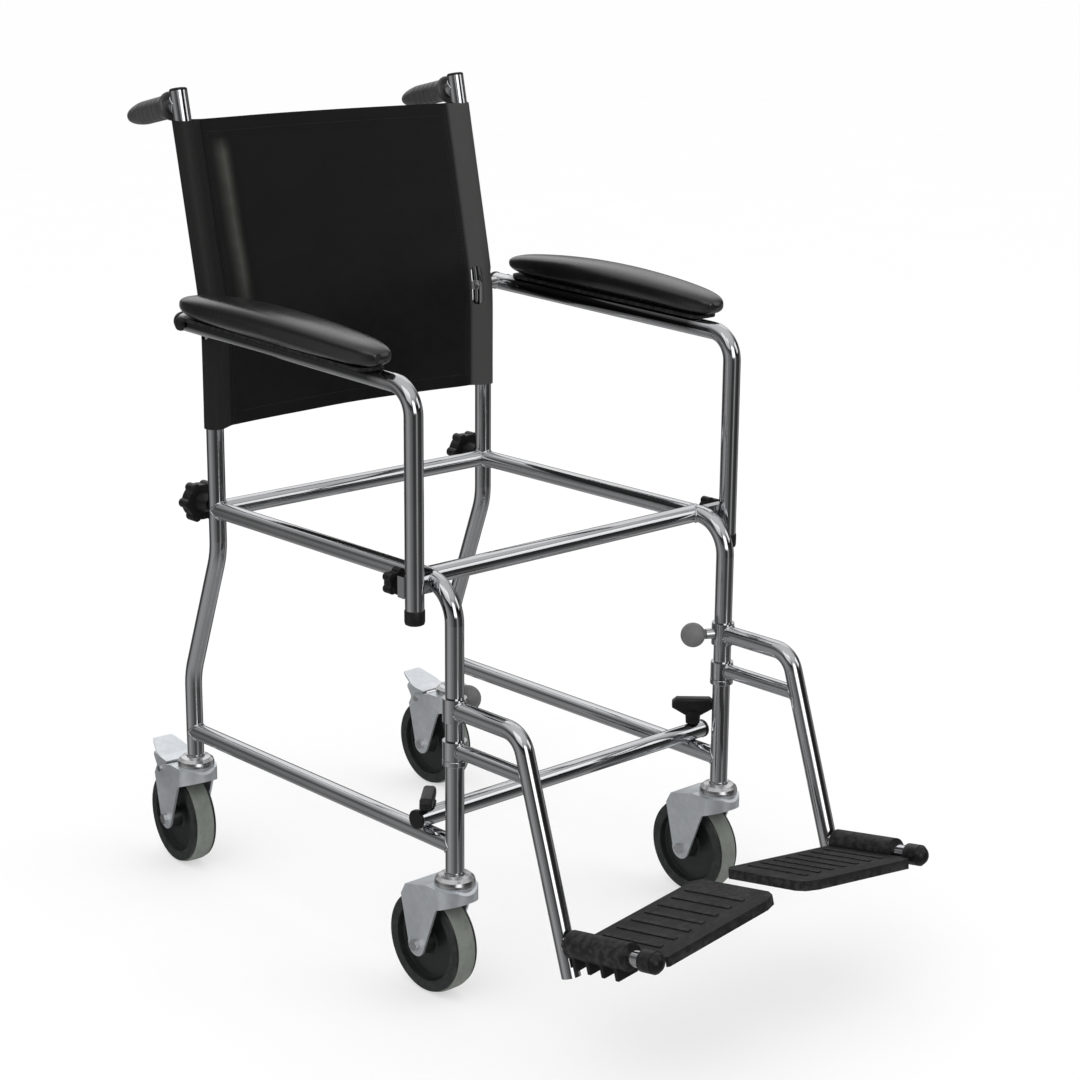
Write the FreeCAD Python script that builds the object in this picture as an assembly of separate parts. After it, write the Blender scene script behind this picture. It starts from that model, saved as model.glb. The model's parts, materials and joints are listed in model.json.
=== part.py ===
import FreeCAD, Part
import math
import os
from FreeCAD import Vector as V, Matrix

# Chromed attendant wheelchair of the mobile-commode kind, open seat frame.
# Millimetres.  +Z up, the chair faces -Y, +X is the user's left hand side.
# Origin: on the floor, in the middle of the overall outline.

# ---------------------------------------------------------------- dimensions
SHIFT_Y = 63.77
TUBE_R = 11.0            # 22 mm frame tube
WALL = 1.5
HALF_W = 221.0           # centre line of each side frame
LEG_Y = -208.0           # front leg
UP_Y = 249.0             # back upright, vertical part
REAR_Y = 314.0           # rear leg, below the offset bend
SEAT_Z = 502.0           # centre line of the open seat frame
SEAT_FRONT_Y = -156.0    # front rail of the seat frame
CORNER_R = 45.0          # bend between seat rail and front leg
LOW_Z = 191.5            # lower side rails
BAR_Y = -160.0           # lower front cross-bar, lies on the lower rails
BAR_Z = LOW_Z + 2 * TUBE_R
LEG_BOTTOM_Z = 160.0
OFFSET_LO_Z = 270.0      # offset bend of the rear leg
OFFSET_HI_Z = 445.0
BEND_Z = 745.0           # back leans away above this height
LEAN = math.radians(12.0)
TOP_Z = 1015.0
HANDLE_Z = 1000.0
HANDLE_LEN = 92.0
GRIP_R = 14.5
SLING_LO_Z = 606.0
SLING_HI_Z = 984.0
SLING_T = 2.4
SLING_SAG = 16.0
ARM_X = 254.7            # centre line of the armrest tube and post
ARM_PIVOT_Y = 250.0
ARM_PIVOT_Z = 742.0
ARM_SLOPE = math.radians(2.0)
POST_Y = -179.0
POST_BOTTOM_Z = 458.0
PAD_X = 266.0
BASE_T = 4.0
LOCK_Z = 500.0
KNOB_Z = 506.0
WHEEL_R = 62.5
WHEEL_W = 32.0
CORE_R = 56.0
TRAIL = 39.0
FORK_IN = 24.0
FORK_T = 3.0
CROWN_Z = 139.0
HANGER_TOP_Z = 357.0
HANGER_LOW_Z = 309.0
HANGER_BEND_Y = -320.0
HANGER_END_Y, HANGER_END_Z = -405.0, 97.0
BRACE_R = 9.0
PIVOT_R = 9.5
PIVOT_Z = 134.0
PIVOT_SLOPE = math.radians(10.0)
BARREL_R = 16.0
BARREL_S0, BARREL_S1 = 14.5, 106.0
PLATE_S1 = 142.0
PLATE_W1 = 200.0
PLATE_TILT = math.radians(6.5)
FIT = 0.05               # running clearance on the radius
THREAD_R = 4.0


# ------------------------------------------------------------------- helpers
def fillet_path(points, radii):
    edges = []
    last = points[0]
    for i in range(1, len(points) - 1):
        p, q, r = points[i - 1], points[i], points[i + 1]
        a = (p - q).normalize()
        b = (r - q).normalize()
        half = a.getAngle(b) / 2.0
        rad = radii[i - 1]
        t = rad / math.tan(half)
        s, e = q + a * t, q + b * t
        bis = (a + b).normalize()
        c = q + bis * (rad / math.sin(half))
        m = c - bis * rad
        edges.append(Part.LineSegment(last, s).toShape())
        edges.append(Part.Arc(s, m, e).toShape())
        last = e
    edges.append(Part.LineSegment(last, points[-1]).toShape())
    return Part.Wire(edges)


def rod(wire, r):
    e = wire.Edges[0]
    start = wire.OrderedVertexes[0].Point
    tan = e.tangentAt(e.FirstParameter)
    ring = Part.Wire(Part.makeCircle(r, start, tan))
    ring.rotate(start, tan, 45)
    s = wire.makePipeShell([ring], True, False)
    if s.ShapeType != "Solid":
        s = Part.Solid(s)
    return s


def cyl(r, a, b):
    d = b - a
    return Part.makeCylinder(r, d.Length, a, d)


def cone(r0, r1, a, b):
    d = b - a
    return Part.makeCone(r0, r1, d.Length, a, d)


def box(x0, x1, y0, y1, z0, z1):
    return Part.makeBox(x1 - x0, y1 - y0, z1 - z0, V(x0, y0, z0))


def poly_yz(pts, x0, x1):
    w = Part.makePolygon([V(x0, y, z) for y, z in pts] + [V(x0, pts[0][0], pts[0][1])])
    return Part.Face(w).extrude(V(x1 - x0, 0, 0))


def poly_xz(pts, y0, y1):
    w = Part.makePolygon([V(x, y0, z) for x, z in pts] + [V(pts[0][0], y0, pts[0][1])])
    return Part.Face(w).extrude(V(0, y1 - y0, 0))


def soften(s, r, pick):
    es = [e for e in s.Edges if pick(e)]
    if not es:
        return s
    try:
        t = s.makeFillet(r, es)
        if t.isValid() and t.Volume > 0:
            return t
    except Exception:
        pass
    return s


def revolve_z(pts, at):
    w = Part.makePolygon([V(r, 0, z) for r, z in pts] + [V(pts[0][0], 0, pts[0][1])])
    s = Part.Face(w).revolve(V(0, 0, 0), V(0, 0, 1), 360)
    s.translate(at)
    return s


def turn(s, point, axis, deg):
    t = s.copy()
    t.rotate(point, axis, deg)
    return t


def mirror(s):
    return s.mirror(V(0, 0, 0), V(1, 0, 0))


def solid(s):
    s = s.removeSplitter()
    if len(s.Solids) == 1:
        return s.Solids[0]
    return s


os.makedirs("parts", exist_ok=True)
NODES = {}


def node(name, s):
    NODES[name] = s


def pair(stem, s):
    node(stem + "_right", s)
    node(stem + "_left", mirror(s))


# ------------------------------------------------- frame tubes (right side)
X = -HALF_W
LEAN_D = V(0, math.sin(LEAN), math.cos(LEAN))
HANDLE_D = V(0, math.cos(LEAN), -math.sin(LEAN))
TOP_Y = UP_Y + (TOP_Z - BEND_Z) * math.tan(LEAN)

up_path = fillet_path(
    [V(X, REAR_Y, LEG_BOTTOM_Z), V(X, REAR_Y, OFFSET_LO_Z), V(X, UP_Y, OFFSET_HI_Z),
     V(X, UP_Y, BEND_Z), V(X, TOP_Y, TOP_Z)], [95, 95, 80])
up_out = rod(up_path, TUBE_R)
up_in = rod(up_path, TUBE_R - WALL)
root_y = UP_Y + (HANDLE_Z - BEND_Z) * math.tan(LEAN)
HR = V(X, root_y, HANDLE_Z)
handle = cyl(TUBE_R, HR, HR + HANDLE_D * (HANDLE_LEN - 4)).cut(up_out)
upright = up_out.fuse(cyl(TUBE_R, HR, HR + HANDLE_D * (HANDLE_LEN - 4))).cut(up_in)
upright = upright.cut(cyl(TUBE_R - WALL, HR + HANDLE_D * 14, HR + HANDLE_D * (HANDLE_LEN + 5)))
# cross hole for the armrest bolt, hole for the rear hand knob
upright = upright.cut(cyl(THREAD_R, V(X - 20, ARM_PIVOT_Y, ARM_PIVOT_Z), V(X + 20, ARM_PIVOT_Y, ARM_PIVOT_Z)))
upright = upright.cut(cyl(THREAD_R + FIT, V(X, UP_Y - 20, KNOB_Z), V(X, UP_Y + 20, KNOB_Z)))
pair("back_upright_and_rear_leg", solid(upright))

leg_path = fillet_path(
    [V(X, UP_Y, SEAT_Z), V(X, LEG_Y, SEAT_Z), V(X, LEG_Y, LEG_BOTTOM_Z)], [CORNER_R])
leg_out = rod(leg_path, TUBE_R)
leg_in = rod(leg_path, TUBE_R - WALL)
leg = leg_out.cut(leg_in).cut(up_out)
LATCH_U = V(35, 18, 0).normalize()
leg_c = V(X, LEG_Y, HANGER_TOP_Z)
leg = leg.cut(cyl(3.2, leg_c + LATCH_U * 6, leg_c + LATCH_U * 14))
leg = leg.cut(cyl(THREAD_R + FIT, V(X, UP_Y - 20, KNOB_Z), V(X, UP_Y + 5, KNOB_Z)))
leg = solid(leg)
if len(leg.Solids) > 1:
    leg = max(leg.Solids, key=lambda q: q.Volume)
pair("seat_side_rail_and_front_leg", leg)

low_out = cyl(TUBE_R, V(X, REAR_Y, LOW_Z), V(X, LEG_Y, LOW_Z))
low = low_out.cut(cyl(TUBE_R - WALL, V(X, REAR_Y, LOW_Z), V(X, LEG_Y, LOW_Z)))
low = low.cut(up_out).cut(leg_out)
low = low.cut(cyl(THREAD_R + FIT, V(X, BAR_Y, LOW_Z), V(X, BAR_Y, LOW_Z + 20)))
low = max(low.Solids, key=lambda q: q.Volume)
pair("lower_side_rail", low)

up_out_l, leg_out_l = mirror(up_out), mirror(leg_out)
front = cyl(TUBE_R, V(X, SEAT_FRONT_Y, SEAT_Z), V(-X, SEAT_FRONT_Y, SEAT_Z)).cut(
    cyl(TUBE_R - WALL, V(X, SEAT_FRONT_Y, SEAT_Z), V(-X, SEAT_FRONT_Y, SEAT_Z)))
front = front.cut(leg_out).cut(leg_out_l)
node("seat_front_rail", max(front.Solids, key=lambda q: q.Volume))
rear = cyl(TUBE_R, V(X, UP_Y, SEAT_Z), V(-X, UP_Y, SEAT_Z)).cut(
    cyl(TUBE_R - WALL, V(X, UP_Y, SEAT_Z), V(-X, UP_Y, SEAT_Z)))
rear = rear.cut(leg_out).cut(leg_out_l).cut(up_out).cut(up_out_l)
for sx in (-1, 1):
    rear = rear.cut(cyl(THREAD_R + FIT, V(sx * HALF_W, UP_Y - 40, KNOB_Z), V(sx * HALF_W, UP_Y + 40, KNOB_Z)))
node("seat_rear_rail", max(rear.Solids, key=lambda q: q.Volume))

BAR_END = HALF_W + 15.0
bar = cyl(TUBE_R, V(-BAR_END, BAR_Y, BAR_Z), V(BAR_END, BAR_Y, BAR_Z)).cut(
    cyl(TUBE_R - WALL, V(-BAR_END, BAR_Y, BAR_Z), V(BAR_END, BAR_Y, BAR_Z)))
for sx in (-1, 1):
    bar = bar.cut(cyl(THREAD_R + FIT, V(sx * HALF_W, BAR_Y, BAR_Z - 20), V(sx * HALF_W, BAR_Y, BAR_Z + 20)))
node("lower_front_crossbar", solid(bar))
cap = cyl(TUBE_R - WALL, V(-BAR_END + 6, BAR_Y, BAR_Z), V(-BAR_END, BAR_Y, BAR_Z)).fuse(
    cyl(TUBE_R + 0.6, V(-BAR_END, BAR_Y, BAR_Z), V(-BAR_END - 5, BAR_Y, BAR_Z)))
cap = soften(solid(cap), 2.0, lambda e: abs(e.BoundBox.XMin + BAR_END + 5) < 0.01)
node("crossbar_end_caps", Part.makeCompound([cap, mirror(cap)]))

# push grips and tube plugs
GRIP_PROFILE = [(17.0, 15.0), (17.8, 17.2), (20.0, 18.0), (22.5, 17.6), (24.5, 15.6), (27.0, 14.8), (62.0, 14.6), (78.0, 14.1), (88.0, 13.2),
                (97.0, 11.6), (104.0, 9.6), (109.0, 7.4), (112.5, 4.6), (114.0, 0.0)]
gp = [V(0, -r, d) for d, r in GRIP_PROFILE]
gw = Part.makePolygon([V(0, 0, 17.0)] + gp + [V(0, 0, 17.0)])
grip = Part.Face(gw).revolve(V(0, 0, 0), V(0, 0, 1), 360)
for k in range(4):
    c0 = 31 + 11 * k
    ring = cyl(GRIP_R + 3, V(0, 0, c0), V(0, 0, c0 + 3)).cut(cyl(GRIP_R - 0.9, V(0, 0, c0), V(0, 0, c0 + 3)))
    grip = grip.cut(ring)
grip = grip.cut(cyl(TUBE_R + 0.02, V(0, 0, 0), V(0, 0, HANDLE_LEN - 4)))
grip = solid(grip)
grip.Placement = FreeCAD.Placement(HR, FreeCAD.Rotation(V(0, 0, 1), HANDLE_D)).multiply(grip.Placement)
pair("push_grip", solid(grip))

top_c = V(X, TOP_Y, TOP_Z)
plug = cyl(TUBE_R, top_c, top_c + LEAN_D * 3.5).fuse(cyl(TUBE_R - WALL, top_c - LEAN_D * 9, top_c))
plug = soften(solid(plug), 2.2, lambda e: abs((e.CenterOfMass - (top_c + LEAN_D * 3.5)).Length) < 0.3)
plug = plug.cut(handle)
node("upright_top_plugs", Part.makeCompound([plug, mirror(plug)]))

# ------------------------------------------------------------- back sling
def strip(z0, y0, z1, y1):
    n = 24
    w = HALF_W - 4.0
    def off(x):
        return SLING_SAG * (1 - (x / w) ** 2)
    lo = [V(-w + 2 * w * i / n, y0 + off(-w + 2 * w * i / n) - SLING_T / 2, z0) for i in range(n + 1)]
    hi = [V(p.x, p.y + SLING_T, z0) for p in lo]
    c1 = Part.BSplineCurve(); c1.interpolate(lo)
    c2 = Part.BSplineCurve(); c2.interpolate(hi[::-1])
    wire = Part.Wire([c1.toShape(), Part.LineSegment(lo[-1], hi[-1]).toShape(), c2.toShape(),
                      Part.LineSegment(hi[0], lo[0]).toShape()])
    return Part.Face(wire).extrude(V(0, y1 - y0, z1 - z0))


SLEEVE_R = TUBE_R + 2.6
sy1 = UP_Y + (SLING_HI_Z - BEND_Z) * math.tan(LEAN)
panel = strip(SLING_LO_Z, UP_Y, BEND_Z, UP_Y).fuse(strip(BEND_Z, UP_Y, SLING_HI_Z, sy1))
sl_path = fillet_path([V(X, UP_Y, SLING_LO_Z), V(X, UP_Y, BEND_Z), V(X, sy1, SLING_HI_Z)], [80])
sleeve = rod(sl_path, SLEEVE_R)
hole = rod(fillet_path([V(X, UP_Y, SLING_LO_Z - 20), V(X, UP_Y, BEND_Z),
                        V(X, UP_Y + (SLING_HI_Z + 20 - BEND_Z) * math.tan(LEAN), SLING_HI_Z + 20)], [80]), TUBE_R + 0.2)
sling = panel.fuse(sleeve).fuse(mirror(sleeve))
sling = sling.cut(hole).cut(mirror(hole))
sling = sling.common(box(-300, 300, 0, 500, SLING_LO_Z, SLING_HI_Z - 3))
# slot round each armrest bolt
slot = box(-HALF_W - 20, -HALF_W + 26, ARM_PIVOT_Y - 9, ARM_PIVOT_Y + 9, ARM_PIVOT_Z - 15, ARM_PIVOT_Z + 15)
slot = slot.fuse(cyl(9, V(-HALF_W - 20, ARM_PIVOT_Y, ARM_PIVOT_Z - 15), V(-HALF_W + 26, ARM_PIVOT_Y, ARM_PIVOT_Z - 15)))
slot = slot.fuse(cyl(9, V(-HALF_W - 20, ARM_PIVOT_Y, ARM_PIVOT_Z + 15), V(-HALF_W + 26, ARM_PIVOT_Y, ARM_PIVOT_Z + 15)))
slot = slot.fuse(box(-HALF_W + 10, -HALF_W + 26, ARM_PIVOT_Y - 9, ARM_PIVOT_Y + 14, ARM_PIVOT_Z - 15, ARM_PIVOT_Z + 15))
sling = sling.cut(slot).cut(mirror(slot))
screws = []
for z in (632.0, 955.0):
    yy = UP_Y + max(0.0, (z - BEND_Z)) * math.tan(LEAN)
    a = V(X, yy, z)
    d = V(0, 1, 0) if z < BEND_Z else HANDLE_D
    s = cyl(2.0, a + d * 8.0, a + d * 13.2).fuse(cone(4.2, 2.6, a + d * 13.4, a + d * 15.6))
    s = s.fuse(cyl(4.2, a + d * 13.1, a + d * 13.4))
    screws += [solid(s), mirror(solid(s))]
for s in screws:
    sling = sling.cut(s)
for nm in ("right", "left"):
    b = NODES["back_upright_and_rear_leg_" + nm]
    for s in screws:
        if b.distToShape(s)[0] < 0.01:
            b = b.cut(s)
    NODES["back_upright_and_rear_leg_" + nm] = solid(b)
node("back_sling", solid(sling))
node("back_sling_screws", Part.makeCompound(screws))

# ------------------------------------------------------------- castors
def stem(x, y):
    s = cyl(TUBE_R - WALL, V(x, y, LEG_BOTTOM_Z), V(x, y, LEG_BOTTOM_Z + 24))
    s = s.fuse(revolve_z([(0, 160), (12.5, 160), (12.5, 157.5), (19, 156), (23, 152.5), (24, 149), (24, 146.4),
                          (6, 146.4), (6, 137.2), (9.5, 137.2), (9.5, 134.2), (0, 134.2)], V(x, y, 0)))
    return solid(s)


def fork(brake):
    # pressed housing: round in front about the stem, cheeks sweeping back and down to the axle
    r, t = FORK_IN + FORK_T, FORK_T
    z0 = CROWN_Z

    def prism(pts, arc, w, x0, x1):
        # side profile with the round end at the axle, held inside a plan that is round in front
        e = [Part.makeLine(V(x0, a[0], a[1]), V(x0, b[0], b[1])) for a, b in zip(pts[:-1], pts[1:])]
        e.append(Part.Arc(V(x0, *pts[-1]), V(x0, *arc), V(x0, *pts[0])).toShape())
        body = Part.Face(Part.Wire(e)).extrude(V(x1 - x0, 0, 0))
        plan = box(-w, w, 0, 100, 0, 200).fuse(cyl(w, V(0, 0, 0), V(0, 0, 200)))
        return body.common(plan)

    lobe = 14.0
    a0, a1 = math.radians(8), math.radians(197)
    tail = (TRAIL + lobe * math.cos(a0), WHEEL_R + lobe * math.sin(a0))
    nose = (TRAIL + lobe * math.cos(a1), WHEEL_R + lobe * math.sin(a1))
    low = (TRAIL, WHEEL_R - lobe)
    side = [nose, (3, 117), (-r - 1, 128.5), (-r - 1, 137), (-r + 5, z0 + 4), (20, z0 + 4), (58, z0 - 5.5), (66, 119), tail]
    outer = prism(side, low, r, -r, r)
    edge = 36.0 if brake else 62.0
    hollow = [(-60, 0), (-60, z0), (20, z0), (edge, z0 - (edge - 20) * 0.25), (edge, 200), (120, 200), (120, 0)]
    if not brake:
        hollow = [(-60, 0), (-60, z0), (20, z0), (62, z0 - 10.5), (120, z0 - 25), (120, 0)]
    plan_in = box(-FORK_IN, FORK_IN, 0, 100, -1, 201).fuse(cyl(FORK_IN, V(0, 0, -1), V(0, 0, 201)))
    s = outer.cut(poly_yz(hollow, -60, 60).common(plan_in))
    s = s.fuse(cyl(24, V(0, 0, z0), V(0, 0, z0 + 7)))
    s = s.cut(cyl(6 + FIT, V(0, 0, 100), V(0, 0, 200)))
    s = s.cut(cyl(4.0, V(-40, TRAIL, WHEEL_R), V(40, TRAIL, WHEEL_R)))
    if brake:
        s = s.cut(cyl(2.5, V(-40, BR_Y, BR_Z), V(40, BR_Y, BR_Z)))
    s = solid(s)
    s = soften(s, 2.4, lambda e: abs(e.BoundBox.ZMax - z0 - 4) < 0.01 and e.BoundBox.YMin < -20)
    return s


BR_Y, BR_Z = 50.0, 129.2


def axle():
    s = cyl(4.0, V(-FORK_IN - 7, TRAIL, WHEEL_R), V(FORK_IN + 7, TRAIL, WHEEL_R))
    for sx in (-1, 1):
        hexa = Part.makePolygon([V(sx * (FORK_IN + FORK_T), TRAIL + 7 * math.cos(k * math.pi / 3), WHEEL_R + 7 * math.sin(k * math.pi / 3))
                                 for k in range(7)])
        s = s.fuse(Part.Face(hexa).extrude(V(sx * 5, 0, 0)))
    return solid(s)


def core():
    # dished moulding with a raised rim on each side that holds the tread
    c = V(0, TRAIL, WHEEL_R)
    pts = [(4.0 + FIT, -FORK_IN + 0.3), (12, -FORK_IN + 0.3), (15, -9), (17, -7), (44, -7), (46, -8), (47.5, -15.5), (60, -15.5),
           (60.4, -15), (60.4, -12.6), (CORE_R, -12.6), (CORE_R, 12.6), (60.4, 12.6), (60.4, 15), (60, 15.5), (47.5, 15.5),
           (46, 8), (44, 7), (17, 7), (15, 9), (12, FORK_IN - 0.3), (4.0 + FIT, FORK_IN - 0.3)]
    w = Part.makePolygon([V(x, c.y, c.z + q) for q, x in pts] + [V(pts[0][1], c.y, c.z + pts[0][0])])
    return solid(Part.Face(w).revolve(c, V(1, 0, 0), 360))


def tyre():
    c = V(0, TRAIL, WHEEL_R)
    pts = [(CORE_R, -12.6), (60.4, -12.6), (61.5, -11.6), (62.3, -9.5), (WHEEL_R, -6), (WHEEL_R, 6),
           (62.3, 9.5), (61.5, 11.6), (60.4, 12.6), (CORE_R, 12.6)]
    w = Part.makePolygon([V(x, c.y, c.z + r) for r, x in pts] + [V(pts[0][1], c.y, c.z + pts[0][0])])
    return solid(Part.Face(w).revolve(c, V(1, 0, 0), 360))


def pedal():
    # bent plate with triangular skirts that drop between the fork cheeks, and a shoe above the tread
    w = FORK_IN - 0.6
    plate = poly_yz([(39, 139.4), (58, 141.4), (92, 154.0), (94, 156.4), (91, 156.2), (57.4, 143.8), (39, 141.8)], -w, w)
    plan = Part.makePolygon([V(-w, 30, 130), V(w, 30, 130), V(w, 64, 130), V(17, 86, 130), V(14, 93, 130), V(9, 96, 130), V(-9, 96, 130),
                             V(-14, 93, 130), V(-17, 86, 130), V(-w, 64, 130), V(-w, 30, 130)])
    plate = plate.common(Part.Face(plan).extrude(V(0, 0, 40)))
    skirt = poly_yz([(40, 140.4), (43, 125.5), (50, 122.8), (58, 124.5), (66, 129.5), (74, 141.0), (72, 146.5), (58, 142.2)], FORK_IN - 3.2, FORK_IN - 0.6)
    shoe = poly_yz([(72.6, 147.4), (73.4, 120.4), (78.4, 118.6), (79, 149.6)], -13, 13)
    s = plate.fuse(skirt).fuse(mirror(skirt)).fuse(shoe)
    s = s.cut(cyl(2.5 + FIT, V(-40, BR_Y, BR_Z), V(40, BR_Y, BR_Z)))
    return solid(s)


def brake_pin():
    e = FORK_IN + FORK_T
    s = cyl(2.5, V(-e - 2, BR_Y, BR_Z), V(e + 2, BR_Y, BR_Z))
    s = s.fuse(cyl(4, V(-e - 2, BR_Y, BR_Z), V(-e, BR_Y, BR_Z))).fuse(cyl(4, V(e + 2, BR_Y, BR_Z), V(e, BR_Y, BR_Z)))
    return solid(s)


CASTORS = {"front_right": (-HALF_W, LEG_Y, 0.0), "front_left": (HALF_W, LEG_Y, 0.0),
           "rear_right": (-HALF_W, REAR_Y, -6.0), "rear_left": (HALF_W, REAR_Y, 0.0)}
stems = []
for nm, (cx, cy, deg) in CASTORS.items():
    stems.append(stem(cx, cy))
    brake = nm.startswith("rear")
    parts = {"fork": fork(brake), "axle_bolt": axle(), "wheel_centre": core(), "tyre": tyre()}
    if brake:
        parts["brake_pedal"] = pedal()
        parts["brake_pin"] = brake_pin()
    for k, s in parts.items():
        s = turn(s, V(0, 0, 0), V(0, 0, 1), deg)
        s.translate(V(cx, cy, 0))
        node("castor_" + nm + "_" + k, s)
node("castor_stems", Part.makeCompound(stems))

# ------------------------------------------------------------- armrests
AX = -ARM_X
fwd = V(0, -math.cos(ARM_SLOPE), -math.sin(ARM_SLOPE))
pv = V(AX, ARM_PIVOT_Y, ARM_PIVOT_Z)
corner = pv + fwd * ((ARM_PIVOT_Y - POST_Y) / math.cos(ARM_SLOPE))
arm_path = fillet_path([pv - fwd * 13.0, corner, V(AX, POST_Y, POST_BOTTOM_Z)], [34])
arm_out = rod(arm_path, TUBE_R)
arm = arm_out.cut(rod(arm_path, TUBE_R - WALL))
arm = arm.fuse(cyl(TUBE_R - WALL, V(AX, POST_Y, POST_BOTTOM_Z), V(AX, POST_Y, POST_BOTTOM_Z + 2)))
arm = arm.fuse(cyl(TUBE_R - WALL, pv - fwd * 13.0, pv - fwd * 11.0))
arm = arm.cut(cyl(THREAD_R + FIT, pv - V(30, 0, 0), pv + V(30, 0, 0)))
pair("armrest_tube", solid(arm))

up_n = V(0, -math.sin(ARM_SLOPE), math.cos(ARM_SLOPE))
ax_deg = math.degrees(ARM_SLOPE)


def tilt(s):
    # the pad lies along the armrest tube
    return turn(s, V(0, ARM_PIVOT_Y, ARM_PIVOT_Z), V(1, 0, 0), ax_deg)


zb = ARM_PIVOT_Z + TUBE_R
base = box(-PAD_X - 21, -PAD_X + 20, -126, 226, zb, zb + BASE_T)
base = soften(base, 14.0, lambda e: e.BoundBox.ZLength > BASE_T - 0.1)
pair("armrest_pad_base", tilt(base))
zp = zb + BASE_T
# pad stations: y, outboard half width, inboard half width, underside, crown (both above the base board)
PAD_STATIONS = [(-141.5, 8, 8, 9.0, 17.0), (-139.5, 13, 13, 5.5, 20.5), (-134, 18, 17, 2.0, 24.0), (-124, 23, 20.5, -0.5, 27.0), (-106, 27.5, 23.5, -1.5, 30.0),
                (-70, 32, 25.5, -1.5, 33.5), (-20, 35, 26, -1.5, 36.5), (40, 36, 26, -1.5, 38.0), (100, 34.5, 25.5, -1.5, 37.0),
                (155, 30.5, 24, -1.5, 33.5), (198, 25, 21, -1.0, 29.0), (220, 20, 17.5, 1.0, 25.5), (232, 15, 14, 4.0, 22.0), (238, 10, 10, 7.5, 18.5),
                (240, 6, 6, 9.5, 16.0)]


def pad_ring(st):
    y, wo, wi, z0, z1 = st
    cx, hw = -PAD_X - (wo - wi) / 2.0, (wo + wi) / 2.0
    cz, hh = zp + (z0 + z1) / 2.0, (z1 - z0) / 2.0
    pts = []
    for k in range(28):
        a = 2 * math.pi * (k + 0.5) / 28
        c, d = math.cos(a), math.sin(a)
        pts.append(V(cx + math.copysign(abs(c) ** 0.72, c) * hw, y, cz + math.copysign(abs(d) ** 0.72, d) * hh))
    b = Part.BSplineCurve()
    b.interpolate(Points=pts, PeriodicFlag=True)
    return Part.Wire([b.toShape()])


pad = Part.makeLoft([pad_ring(st) for st in PAD_STATIONS], True, False)
pad = pad.cut(box(-PAD_X - 60, -PAD_X + 60, -200, 300, zp - 30, zp))
pad = solid(pad)
pair("armrest_pad", tilt(pad))

bolt = cyl(THREAD_R, V(AX - 12.5, pv.y, pv.z), V(X + 15.5, pv.y, pv.z))
bolt = bolt.fuse(cone(7.0, 4.5, V(AX - TUBE_R - 0.3, pv.y, pv.z), V(AX - TUBE_R - 4.0, pv.y, pv.z)))
bolt = bolt.fuse(cyl(7.5, V(AX + TUBE_R + 0.4, pv.y, pv.z), V(X - TUBE_R, pv.y, pv.z)))
nut = Part.makePolygon([V(X + TUBE_R, pv.y + 7 * math.cos(k * math.pi / 3), pv.z + 7 * math.sin(k * math.pi / 3)) for k in range(7)])
bolt = bolt.fuse(Part.Face(nut).extrude(V(4.0, 0, 0)))
bolt = solid(bolt.cut(NODES["back_upright_and_rear_leg_right"]))
if len(bolt.Solids) > 1:
    bolt = max(bolt.Solids, key=lambda q: q.Volume)
node("armrest_pivot_bolts", Part.makeCompound([bolt, mirror(bolt)]))

# cradle that takes the armrest post: closed behind, open to the front
gx = TUBE_R + 0.4
cr = box(AX - gx - 0.6, X - 3, POST_Y + 4.5, POST_Y + gx + 4.0, 488, 513)
cr = cr.cut(cyl(gx, V(AX, POST_Y, 400), V(AX, POST_Y, 600)))
cr = cr.cut(leg_out)
cr = max(cr.Solids, key=lambda q: q.Volume)
boss = cyl(8.0, V(AX, POST_Y + gx + 2, LOCK_Z), V(AX, POST_Y + gx + 9, LOCK_Z))
cr = cr.fuse(boss).cut(cyl(gx, V(AX, POST_Y, 400), V(AX, POST_Y, 600)))
cr = cr.cut(cyl(THREAD_R + FIT, V(AX, POST_Y, LOCK_Z), V(AX, POST_Y + 40, LOCK_Z)))
pair("armrest_post_cradle", solid(cr))


# ------------------------------------------------------------- hand knobs
def lobed(n, r, lobe, t, c, d, u, v):
    s = cyl(r, c, c + d * t)
    for k in range(n):
        a = 2 * math.pi * k / n
        q = c + u * (r * 0.93 * math.cos(a)) + v * (r * 0.93 * math.sin(a))
        s = s.fuse(cyl(lobe, q, q + d * t))
    s = s.removeSplitter()
    s = soften(s, 2.5, lambda e: abs((e.CenterOfMass - (c + d * t)).dot(d)) < 0.05)
    return s


ky0 = UP_Y + TUBE_R
kc = V(X, ky0 + 16.0, KNOB_Z)
star = lobed(6, 22.5, 6.2, 18.0, kc + V(0, 2, 0), V(0, 1, 0), V(1, 0, 0), V(0, 0, 1))
star = star.fuse(cone(14, 8.5, kc + V(0, 2, 0), kc - V(0, 15.0, 0)))
star = star.fuse(cyl(THREAD_R, V(X, UP_Y - 26, KNOB_Z), kc))
star = star.cut(up_out.cut(cyl(THREAD_R + 0.01, V(X, UP_Y - 40, KNOB_Z), V(X, UP_Y + 40, KNOB_Z))))
pair("rear_star_knob", solid(star))

ly0 = POST_Y + gx + 9.0
lc = V(AX, ly0 + 6.0, LOCK_Z)
lock = lobed(5, 12.6, 5.2, 14.0, lc, V(0, 1, 0), V(1, 0, 0), V(0, 0, 1))
lock = lock.fuse(cyl(7.5, lc, V(AX, ly0 + 0.4, LOCK_Z)))
lock = lock.fuse(cyl(THREAD_R, V(AX, POST_Y + TUBE_R + 0.8, LOCK_Z), lc))
pair("armrest_lock_knob", solid(lock))


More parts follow.
